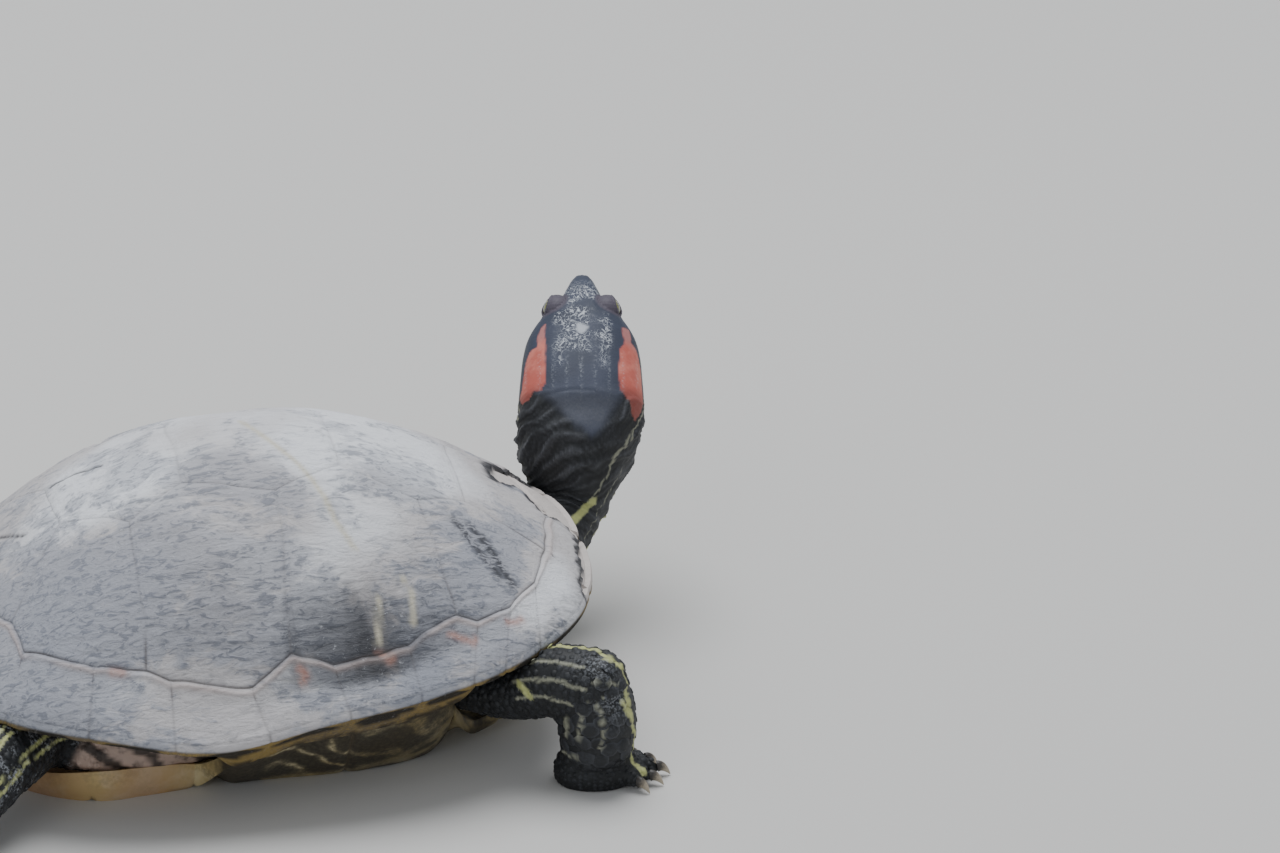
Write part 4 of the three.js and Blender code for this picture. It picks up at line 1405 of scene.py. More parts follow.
@dataclass
class Core:
    """A centre line with the section round each of its places."""

    centres: Array
    directions: Array
    sizes: Array
    squareness: Array
    lengths: Array
    aside: Optional[Array] = None

    def frame(self) -> tuple[Array, Array]:
        """Sideways and upward unit vectors square to the line.

        Returns:
            One of each for every place on the line.
        """
        ways = self.directions
        fixed = self.aside is not None
        side = np.broadcast_to(self.aside, ways.shape) if fixed else np.cross(Z_AXIS, ways)
        side = unit(side - np.sum(side * ways, -1, keepdims=True) * ways)
        return side, np.cross(ways, side)

    def rings(self, columns: int) -> Array:
        """Superellipse sections: half width to the sides, then the reach up and down.

        Args:
            columns: points in a section.

        Returns:
            Points of shape (rows, columns, 3).
        """
        side, up = self.frame()
        angle = np.linspace(0, 2 * math.pi, columns, endpoint=False)
        power = 2.0 / self.squareness[:, None]
        across = np.sign(np.cos(angle)) * np.abs(np.cos(angle))[None] ** power
        high = np.sign(np.sin(angle)) * np.abs(np.sin(angle))[None] ** power
        reach = np.where(high > 0, self.sizes[:, 1:2], self.sizes[:, 2:3])
        return (
            self.centres[:, None]
            + side[:, None] * (self.sizes[:, :1] * across)[..., None]
            + up[:, None] * (reach * high)[..., None]
        )

    def locate(self, points: Array) -> tuple[Array, Array, Array, Array]:
        """The nearest place on the line for each point.

        Args:
            points: places in millimetres.

        Returns:
            Length along the line, distance to its side and upward, and distance in radii.
        """
        side, up = self.frame()
        row = np.empty(len(points), int)
        for start in range(0, len(points), AT_ONCE):
            block = points[start : start + AT_ONCE]
            square = (block**2).sum(-1)[:, None] + (self.centres**2).sum(-1)[None]
            row[start : start + AT_ONCE] = np.argmin(square - 2 * block @ self.centres.T, axis=1)
        offset = points - self.centres[row]
        ahead = np.sum(offset * self.directions[row], -1)
        a, h = np.sum(offset * side[row], -1), np.sum(offset * up[row], -1)
        reach = np.where(h > 0, self.sizes[row, 1], self.sizes[row, 2])
        ratio = np.sqrt((a / self.sizes[row, 0]) ** 2 + (h / reach) ** 2)
        beyond = np.clip(np.abs(ahead) - 3.0, 0, None) / self.sizes[row, 0]
        return self.lengths[row] + ahead, a, h, ratio + beyond


def chord_table(path: Sequence[Point]) -> Array:
    """Rows [x, y, z, radius] with the running length of their chords before each."""
    rows = np.array(path, float)
    chords = np.linalg.norm(np.diff(rows[:, :3], axis=0), axis=1)
    return np.column_stack([np.concatenate([[0.0], np.cumsum(chords)]), rows])


def core_through(path: Sequence[Point], count: int, aside: Optional[Array] = None) -> Core:
    """A smooth centre line through [x, y, z, radius] rows, evenly along its chords.

    Args:
        path: the rows.
        count: places on the line.
        aside: a fixed sideways direction.

    Returns:
        The centre line.
    """
    table = chord_table(path)
    lengths = np.linspace(0, table[-1, 0], count)
    read = spline(table, lengths)
    directions = unit(np.gradient(read[:, :3], lengths, axis=0))
    sizes = np.repeat(read[:, 3:], 3, axis=1)
    return Core(read[:, :3], directions, sizes, np.full(count, 2.0), lengths, aside)


def ellipsoid(centre: Point, radii: Point, spacing: float, yaw: float = 0.0) -> Surface:
    """A closed ball stretched along three axes and turned about the upright.

    Args:
        centre: its middle.
        radii: its three half sizes.
        spacing: the distance between points.
        yaw: its turn in radians.

    Returns:
        The surface.
    """
    rows = max(10, int(math.pi * max(radii) / spacing))
    columns = max(16, int(2 * math.pi * max(radii) / spacing))
    polar = np.linspace(0, math.pi, rows + 2)[1:-1, None]
    angle = np.linspace(0, 2 * math.pi, columns, endpoint=False)[None]
    ball = np.stack([
        np.sin(polar) * np.cos(angle), np.sin(polar) * np.sin(angle), np.cos(polar) + 0 * angle,
    ], -1) * np.array(radii)
    cos, sin = math.cos(yaw), math.sin(yaw)
    turned = ball @ np.array([[cos, sin, 0], [-sin, cos, 0], [0, 0, 1]])
    return ring_surface(turned + np.array(centre))


HEAD_TURN, LEG_TURN = 0.33, 0.21  # millimetres for a degree round the head and a leg


@dataclass(frozen=True)
class Stripe:
    """A pale stripe as a line of [length along, degrees round], with its half width."""

    line: tuple
    width: float
    strength: float = 1.0


@dataclass(frozen=True)
class Toes:
    """The toes of one paw."""

    count: int = 5
    spread: float = 80.0
    reach: float = 21.0
    radius: float = 3.5
    claw: float = 4.6


@dataclass
class Limb:
    """A leg: upper and lower part, paw and toes."""

    name: str
    upper: tuple
    lower: tuple
    at: tuple[float, float]
    yaw: float
    paw: tuple[float, float, float]
    toes: Toes
    spacing: float = 1.35
    toe_rows: int = 16
    toe_columns: int = 18
    claw_rows: int = 14
    tip_height: float = 0.45

    def aside(self) -> Array:
        """The fixed level direction that angles round the leg are read from."""
        start, end = self.upper[0], self.lower[-1]
        return unit(np.array([-(end[1] - start[1]), end[0] - start[0], 0.0]))

    def parts(self) -> list[Core]:
        """Centre lines of the upper and the lower part."""
        made = []
        for path in (self.upper, self.lower):
            span = np.linalg.norm(np.diff(np.array(path)[:, :3], axis=0), axis=1).sum()
            made.append(core_through(path, int(span / self.spacing) + 2, self.aside()))
        return made

    def core(self) -> Core:
        """The whole leg's centre line with one running length.

        Returns:
            Its centre line.
        """
        upper, lower = self.parts()
        lengths = np.concatenate([upper.lengths, upper.lengths[-1] + lower.lengths[1:]])
        joined = (
            np.concatenate([getattr(upper, name), getattr(lower, name)[1:]])
            for name in ("centres", "directions", "sizes", "squareness")
        )
        return Core(*joined, lengths, self.aside())

    def paw_point(self, ahead: float, aside: float, up: float) -> Array:
        """A place on the paw, ahead, aside and up from its middle on the floor."""
        cos, sin = math.cos(math.radians(self.yaw)), math.sin(math.radians(self.yaw))
        return np.array([
            self.at[0] + ahead * cos - aside * sin, self.at[1] + ahead * sin + aside * cos, up,
        ])

    def toe_ends(self, number: int) -> tuple[Array, Array]:
        """The root and the tip of a toe. Outer toes are shorter.

        Args:
            number: the toe, counted from 0.

        Returns:
            Root and tip.
        """
        place = number / (self.toes.count - 1) - 0.5
        turn = math.radians(self.toes.spread * place)
        reach = self.toes.reach * (1 - 0.36 * abs(place))

        def at(distance: float, up: float) -> Array:
            """A place along the toe."""
            return self.paw_point(distance * math.cos(turn), distance * math.sin(turn), up)

        return at(reach * 0.3, self.toes.radius + 1.6), at(reach, self.toes.radius)

    def toe(self, number: int) -> Surface:
        """A toe with two knuckles and a round end.

        Args:
            number: the toe, counted from 0.

        Returns:
            Its surface.
        """
        root, tip = self.toe_ends(number)
        way = unit(tip - root)
        span = float(np.linalg.norm(tip - root))
        closing_turn = np.linspace(0.3, 1.5, 5)
        part = np.linspace(0, 1, self.toe_rows)
        part = np.concatenate([part, 1 + 0.09 * np.sin(closing_turn)])
        knuckles = 1.16 - 0.3 * np.clip(part, 0, 1) + 0.10 * np.cos(part * 4 * math.pi)
        closing = np.concatenate([np.ones(self.toe_rows), np.cos(closing_turn)])
        radius = self.toes.radius * knuckles * closing
        arch = 0.9 * np.sin(np.clip(part, 0, 1) * math.pi)
        centres = root + part[:, None] * span * way + arch[:, None] * Z_AXIS
        sizes = np.repeat(radius[:, None], 3, axis=1) * np.array([0.94, 1.0, 1.0])
        directions = np.broadcast_to(way, centres.shape)
        toe = Core(centres, directions, sizes, np.full(len(part), 2.0), part * span)
        return ring_surface(toe.rings(self.toe_columns))

    def web(self) -> Surface:
        """A low fan of skin between the toes."""
        reach = self.toes.reach * (0.62 if self.toes.count == 4 else 0.45)
        width = reach * math.sin(math.radians(self.toes.spread) / 2) * 1.05
        centre = self.paw_point(reach * 0.62, 0, self.toes.radius * 0.95)
        radii = (reach * 0.62, width, self.toes.radius * 0.72)
        return ellipsoid(centre, radii, self.spacing, math.radians(self.yaw))

    def surfaces(self) -> list[Surface]:
        """All closed forms that the leg is grown together from.

        Returns:
            Upper and lower part, knee, paw, web and toes.
        """
        made = []
        for part in self.parts():
            columns = int(2 * math.pi * part.sizes[:, 0].max() / self.spacing)
            made.append(ring_surface(part.rings(columns)))
        x, y, z, radius = self.lower[0]
        made.append(ellipsoid((x, y, z), (radius,) * 3, self.spacing))
        length, width, height = self.paw
        middle, yaw = self.paw_point(0, 0, height * 0.45), math.radians(self.yaw)
        made.append(ellipsoid(middle, (length, width, height), self.spacing, yaw))
        made.append(self.web())
        made += [self.toe(number) for number in range(self.toes.count)]
        return made

    def claw(self, number: int) -> Surface:
        """A claw that leaves the toe, rises a little and bends down to just over the floor.

        Args:
            number: the toe, counted from 0.

        Returns:
            Its surface, marked from root to tip.
        """
        root, tip = self.toe_ends(number)
        way = unit(tip - root)
        level = unit(way * np.array([1.0, 1.0, 0.0]))
        size, thick = self.toes.claw, self.toes.radius * 0.62
        base = tip + way * 0.2
        middle = base + way * size * 0.45 + np.array([0.0, 0.0, 0.75])
        end = base + level * size * 0.98
        end[2] = self.tip_height
        part = np.linspace(0, 1, self.claw_rows)[:, None]
        centres = (1 - part) ** 2 * base + 2 * part * (1 - part) * middle + part**2 * end
        directions = unit(np.gradient(centres, axis=0))
        radius = (thick * (1 - part**1.5) + 0.16)[:, 0]
        sizes = np.stack([radius * 0.78, radius, radius * 0.8], -1)
        claw = Core(centres, directions, sizes, np.full(len(part), 2.0), part[:, 0] * size)
        rings = claw.rings(self.claw_rows)
        tip_mark = np.broadcast_to(part, rings.shape[:2])
        return ring_surface(rings, {"tip": tip_mark})


FORE_TOES, HIND_TOES = Toes(), Toes(4, 62.0, 23.0, 2.8, 6.5)

LIMBS = (
    Limb(
        "foreleg_right",
        ((64, -44, 28.8, 11), (82, -62, 31, 11.5), (98, -76, 38, 12.8), (107, -80, 37.5, 13.2)),
        ((107, -80, 37.5, 13.2), (108.5, -81, 25, 13.8), (109, -79.5, 11, 12.3)),
        (109, -78), -4, (15, 11.5, 11), FORE_TOES, spacing=1.1,
    ),
    Limb(
        "foreleg_left",
        ((64, 43, 29.5, 11), (81, 61, 31.5, 11.5), (92, 79, 29.5, 12), (99, 92, 26, 12.3)),
        ((99, 92, 26, 12.3), (104, 99, 18, 12), (107, 103, 10, 11)),
        (110, 105), 22, (15, 11, 10), FORE_TOES,
    ),
    Limb(
        "hindleg_right",
        ((-66, -36, 23, 12.5), (-84, -53, 23.5, 13), (-98, -71, 24, 14)),
        ((-98, -71, 24, 14), (-110, -87, 19, 12.5), (-119, -97, 10, 10)),
        (-124, -102), -150, (19, 15, 8.5), HIND_TOES,
    ),
    Limb(
        "hindleg_left",
        ((-66, 36, 23, 12.5), (-83, 54, 23.5, 13), (-94, 73, 24, 14)),
        ((-94, 73, 24, 14), (-102, 91, 19, 12.5), (-108, 104, 10, 10)),
        (-111, 109), 136, (19, 15, 8.5), HIND_TOES,
    ),
)
TAIL_ROWS = (
    (-84, 0, 20, 10), (-102, 2, 16, 8.5), (-116, 8, 10, 6.2), (-126, 17, 6, 4.2),
    (-132, 28, 3.4, 1.8),
)
TAIL = core_through(TAIL_ROWS, 60)


@dataclass(frozen=True)
class HeadShape:
    """The head's frame, sections and eyes. Sections are [along, half, top, bottom]."""

    base: tuple = (129.9, 57.0, 76.4)
    yaw: float = math.radians(78.6)
    pitch: float = math.radians(33.0)
    squareness: float = 2.3
    sections: tuple = (
        (0, 22, 15.5, 16), (8, 22.4, 16.4, 16.6), (16, 22.2, 16.6, 16.4), (24, 21.6, 16.2, 15.6),
        (32, 19.8, 15.2, 14.4), (39, 16, 13.8, 13), (45, 11.2, 11.6, 11.6), (50, 7.9, 9.6, 10.4),
        (54.5, 5.9, 7.4, 9.2), (58, 4.5, 5.2, 8), (61, 2.7, 2.6, 6.6),
    )
    neck: tuple = (
        (70, 4, 32, 13), (90, 17, 33, 14), (109.5, 37, 33, 14.5), (124, 54, 45, 14.5),
        (127.8, 58, 61, 20), (129.9, 57, 76.4, 21),
    )
    eye_at: tuple = (42.5, 9.0, 6.4)
    eye_radius: float = 5.0
    lid: float = 0.62
    look: tuple = (0.26, 0.88, 0.36)
    opening: tuple = (3.7, 2.8)
    mouth: tuple = ((61.5, -3.4), (56, -3.9), (50, -4.6), (44, -4.2), (38, -5.2), (33.5, -7.2))
    red_left: tuple = (
        (32.5, 42), (31.1, 38), (27.3, 35), (22.9, 37), (22.2, 27), (18, 21), (13, 18), (7.8, 17),
        (4.9, 13), (1.6, 18), (1.4, 27), (4.1, 34), (3.7, 42), (6.5, 47), (13.5, 48), (22.5, 47),
    )
    red_right: tuple = (
        (33.1, 24), (31.4, 37), (28.2, 39), (24.2, 38), (20.6, 45), (11.8, 46), (3.8, 42),
        (0.6, 35), (-2.9, 21), (-3.8, 10), (0.6, 11), (8, 13), (17, 14), (24.5, 19), (26.6, 27),
    )
    slate: tuple = (
        (66, 8), (66, -8), (46, -16), (30, -19), (12, -18), (3, -15.5), (-3, -11), (-8, -8.3),
        (-12.4, -4), (-8.1, 2.1), (-3.9, 6.8), (0, 10.4), (3.8, 15.8), (12, 18), (30, 19), (46, 16),
    )
    snout: float = 61.0
    snout_cap: float = 1.3
    snout_drop: float = 2.1
    cap_rows: int = 6
    lid_edge: float = 0.32
    lid_tube: float = 0.52
    red_scale: float = 0.36
    spacing: float = 0.8
    columns: int = 164

    @property
    def forward(self) -> Array:
        """The way the snout points."""
        flat, high = math.cos(self.pitch), math.sin(self.pitch)
        return np.array([flat * math.cos(self.yaw), flat * math.sin(self.yaw), high])

    @property
    def aside(self) -> Array:
        """The level way to the head's left."""
        return unit(np.cross(Z_AXIS, self.forward))

    @property
    def up(self) -> Array:
        """The way the crown faces."""
        return np.cross(self.forward, self.aside)

    def local(self, points: Array) -> tuple[Array, Array, Array]:
        """Places in the head's own frame: along, aside and up."""
        offset = points - np.array(self.base)
        return offset @ self.forward, offset @ self.aside, offset @ self.up

    def world(self, along: float, aside: float, up: float) -> Array:
        """A place given in the head's own frame."""
        return np.array(self.base) + along * self.forward + aside * self.aside + up * self.up

    def eye(self, side: int) -> tuple[Array, Array, Array, Array]:
        """An eye's middle, the way it looks, and its level and upright directions.

        Args:
            side: 1 for the left, -1 for the right.

        Returns:
            The middle and the three directions.
        """
        along, aside, up = self.eye_at
        ahead, out, high = self.look
        look = unit(ahead * self.forward + side * out * self.aside + high * self.up)
        upright = unit(self.up - (self.up @ look) * look)
        return self.world(along, side * aside, up), look, np.cross(upright, look), upright

    def core(self) -> Core:
        """The centre line of the neck and the head. Lengths count from the back of the head.

        Returns:
            One centre line from under the shell to the snout.
        """
        neck = chord_table(self.neck)
        knots = neck[:, 0]
        lengths = np.linspace(0, knots[-1], int(knots[-1] / self.spacing))[:-1]
        read = spline(neck, lengths)
        part = np.interp(lengths, knots, np.linspace(0, 1, len(knots)))[:, None]
        lean = smooth(part, 0.55, 1.0)
        directions = unit(np.gradient(read[:, :3], lengths, axis=0))
        directions = unit(mix(directions, self.forward, lean))
        first = np.array(self.sections[0][1:], float)
        sizes = mix(np.repeat(read[:, 3:], 3, axis=1), first, smooth(part, 0.80, 1.0))
        along = np.arange(0.0, self.snout + 0.01, self.spacing * 0.8)
        head_sizes = spline(np.array(self.sections, float), along)
        centres = np.array(self.base) + along[:, None] * self.forward
        turn = np.linspace(0.25, 1.5, self.cap_rows)[:, None]
        tip = self.world(self.snout, 0, -self.snout_drop)
        end = head_sizes[-1:]
        middle = (end[:, 1] - end[:, 2]) / 2
        round_sizes = np.concatenate([
            end[:, :1] * np.cos(turn), end[:, 1:].mean(1, keepdims=True) * np.cos(turn),
        ], axis=1)[:, [0, 1, 1]]
        ahead = self.snout_cap * np.sin(turn)
        round_centres = tip + (self.up * (middle[0] + self.snout_drop)) + ahead * self.forward
        squareness = np.concatenate([
            mix(2.0, self.squareness, smooth(part[:, 0], 0.7, 1.0)),
            np.full(len(along), self.squareness), np.full(self.cap_rows, 2.2),
        ])
        head_directions = np.broadcast_to(self.forward, (len(along) + self.cap_rows, 3))
        return Core(
            np.concatenate([read[:, :3], centres, round_centres]),
            np.concatenate([directions, head_directions]),
            np.concatenate([sizes, head_sizes, round_sizes]),
            squareness,
            np.concatenate([lengths - knots[-1], along, self.snout + ahead[:, 0]]),
        )

    def within(self, length: Array, across: Array, corners_of: tuple, scale: float) -> Array:
        """Millimetres into an outline of [length, across], less than 0 outside it."""
        flat = np.stack([length, across * scale], -1)
        outline = np.array(corners_of, float) * np.array([1.0, scale])
        away = distance_to_line(flat, np.concatenate([outline, outline[:1]]))
        return np.where(inside(flat, outline), away, -away)

    def lids(self, side: int) -> list[Surface]:
        """The bulge over an eye and the thick rims of its lids.

        Args:
            side: 1 for the left, -1 for the right.

        Returns:
            The bulge and the rims.
        """
        middle, look, level, upright = self.eye(side)
        radius = self.eye_radius + self.lid
        dome = ellipsoid((0, 0, 0), (radius,) * 3, 0.52)
        dome.points += middle
        wide, high = (half + self.lid_edge for half in self.opening)
        turn = np.linspace(0, 2 * math.pi, 56, endpoint=False)[:, None]
        ring = wide * np.cos(turn) * level + high * np.sin(turn) * upright
        short = (ring**2).sum(-1, keepdims=True)
        depth = np.sqrt(np.maximum((self.eye_radius + 0.28) ** 2 - short, 0.1))
        centres = middle + ring + depth * look
        along = unit(np.roll(centres, -1, 0) - np.roll(centres, 1, 0))
        out = unit(centres - middle)
        across = np.cross(along, out)
        small = np.linspace(0, 2 * math.pi, 12, endpoint=False)[None, :, None]
        round_it = np.cos(small) * out[:, None] + np.sin(small) * across[:, None]
        tube = centres[:, None] + self.lid_tube * round_it
        faces = sheet_faces(*tube.shape[:2], round_about=True, end_to_end=True)
        return [dome, turned_out(Surface(tube.reshape(-1, 3), [faces]))]

    def sockets(self, side: int) -> list[Surface]:
        """What is cut out of the skin for an eye: its ball and the slit between the lids.

        Args:
            side: 1 for the left, -1 for the right.

        Returns:
            The ball and the slit.
        """
        middle, look, level, upright = self.eye(side)
        ball = ellipsoid((0, 0, 0), (self.eye_radius + 0.03,) * 3, 0.6)
        ball.points += middle
        turn = np.linspace(0, 2 * math.pi, 48, endpoint=False)[None, :, None]
        wide, high = self.opening
        slit = np.array([0.5, 12.0])[:, None, None] * look
        rings = middle + slit + wide * np.cos(turn) * level + high * np.sin(turn) * upright
        return [ball, ring_surface(rings)]


HEAD = HeadShape()


@dataclass
class Trunk:
    """The soft body between the shells, as rings from the belly plates to under the dome."""

    columns: int = 160
    top: float = 0.74
    front_pull: float = 0.03
    bottom_side: float = 0.53
    bottom_end: float = 0.66
    floor_pull: float = 0.05
    floor: float = 7.8
    under_dome: float = 6.2
    wall_hollow: float = 0.02
    wall_rows: int = 22

    def surface(self, plastron: Plastron) -> Surface:
        """The trunk as one closed form.

        Args:
            plastron: the belly plates that it rests on.

        Returns:
            The surface.
        """
        turn = np.arange(self.columns) * 2 / self.columns
        side = np.where(turn <= 1, 1.0, -1.0)
        along, aside = SHELL.outline(np.where(turn <= 1, turn, 2 - turn))
        ends = np.cos(turn * math.pi) ** 2

        def plan(part: Array) -> tuple[Array, Array]:
            """Shell places a part of the way from the apex to the outline."""
            return mix(SHELL.apex_at, along, part), side * aside * part

        def under(f: Array, y: Array) -> Array:
            """Places just under the dome."""
            return SHELL.place(f, y, SHELL.dome(f, y) - self.under_dome / SHELL.length)

        top = self.top - self.front_pull * ends
        bottom = mix(self.bottom_side, self.bottom_end, ends)
        rows = []
        for share in (0.35, 0.7, 1.0):
            f, y = plan((bottom - self.floor_pull) * share)
            low = self.floor + plastron.base(f)
            rows.append(np.stack([(0.5 - f) * SHELL.length, y * SHELL.length, low], -1))
        for level in np.linspace(0, 1, self.wall_rows):
            f, y = plan(mix(bottom, top, level**0.8) - self.wall_hollow * math.sin(level * math.pi))
            high = under(f, y)
            high[:, 2] = mix(self.floor + 2.5 + plastron.base(f), high[:, 2] - 1.0, level)
            rows.append(high)
        for share in (0.82, 0.6, 0.36, 0.12):
            rows.append(under(*plan(top * share)))
        return ring_surface(np.array(rows))


def combined(start: Surface, grown: Sequence[Surface], cut: Sequence[Surface]) -> Surface:
    """Closed surfaces joined to a first one, and others then cut from it, as one closed skin.

    Args:
        start: the first surface.
        grown: what is joined to it.
        cut: what is taken off.

    Returns:
        The skin in triangles.
    """
    whole, *tools = (added("rough", other.to_mesh("rough")) for other in (start, *grown, *cut))
    for number, tool in enumerate(tools):
        step = whole.modifiers.new("step", "BOOLEAN")
        step.operation = "UNION" if number < len(grown) else "DIFFERENCE"
        step.solver, step.object = "MANIFOLD", tool
    graph = bpy.context.evaluated_depsgraph_get()
    mesh = bpy.data.meshes.new_from_object(whole.evaluated_get(graph))
    for spent in (whole, *tools):
        bpy.data.objects.remove(spent)
    shape = bmesh.new()
    shape.from_mesh(mesh)
    bmesh.ops.triangulate(shape, faces=shape.faces)
    shape.to_mesh(mesh)
    shape.free()
    points = np.empty(len(mesh.vertices) * 3, np.float32)
    mesh.vertices.foreach_get("co", points)
    corners_of = np.empty(len(mesh.loops), np.int32)
    mesh.loops.foreach_get("vertex_index", corners_of)
    bpy.data.meshes.remove(mesh)
    return Surface(points.reshape(-1, 3).astype(float) / METRES, [corners_of.reshape(-1, 3)])


def sides_of(triangles: Array) -> Array:
    """The two points of each triangle's sides, the lower number first."""
    return np.sort(np.concatenate([triangles[:, [k, (k + 1) % 3]] for k in range(3)]), 1)


def face_normals(points: Array, triangles: Array) -> Array:
    """Each triangle's normal, as long as twice its area."""
    a, b, c = (points[triangles[:, k]] for k in range(3))
    return np.cross(b - a, c - a)


def point_normals(points: Array, triangles: Array) -> Array:
    """Unit normals at the points: the sum of their triangles' normals by area.

    Args:
        points: places in millimetres.
        triangles: corner numbers, three a row.

    Returns:
        One normal for each point.
    """
    face = face_normals(points, triangles)
    return unit(np.stack([
        sum(np.bincount(triangles[:, k], face[:, axis], len(points)) for k in range(3))
        for axis in range(3)
    ], -1))


CREASE_STEPS = 14


def crease_distance(points: Array, triangles: Array, sharp: float, reach: float) -> Array:
    """Distance over the surface from the sharp creases, by stepping over edges.

    Args:
        points: places in millimetres.
        triangles: corner numbers, three a row.
        sharp: degrees past which an edge is a crease.
        reach: how far distances matter.

    Returns:
        Millimetres to the nearest crease.
    """
    face = unit(face_normals(points, triangles))
    pairs = sides_of(triangles)
    owner = np.tile(np.arange(len(triangles)), 3)
    order = np.lexsort((pairs[:, 1], pairs[:, 0]))
    pairs, owner = pairs[order], owner[order]
    same = np.all(pairs[:-1] == pairs[1:], axis=1)
    first, second = owner[:-1][same], owner[1:][same]
    bent = np.sum(face[first] * face[second], -1) < math.cos(math.radians(sharp))
    seeds = np.unique(pairs[:-1][same][bent])
    distance = np.full(len(points), FAR)
    distance[seeds] = 0.0
    edges = np.unique(pairs, axis=0)
    size = np.linalg.norm(points[edges[:, 0]] - points[edges[:, 1]], axis=1)
    for _ in range(CREASE_STEPS):
        before = distance.copy()
        for i, j in ((0, 1), (1, 0)):
            np.minimum.at(distance, edges[:, i], before[edges[:, j]] + size)
        if np.abs(distance - before)[distance < reach].max(initial=0.0) < 0.01:
            break
    return distance


def relaxed(points: Array, triangles: Array, share: Array, rounds: int) -> Array:
    """Points drawn towards the mean of their neighbours, by a share at each point.

    Args:
        points: places in millimetres.
        triangles: corner numbers, three a row.
        share: how far each point moves.
        rounds: how often.

    Returns:
        The moved points.
    """
    edges = np.unique(sides_of(triangles), axis=0)
    count = np.bincount(edges.ravel(), minlength=len(points))[:, None]
    for _ in range(rounds):
        mean = np.stack([
            np.bincount(edges[:, 0], points[edges[:, 1], k], len(points))
            + np.bincount(edges[:, 1], points[edges[:, 0], k], len(points))
            for k in range(3)
        ], -1) / np.maximum(count, 1)
        points = mix(points, mean, share[:, None])
    return points


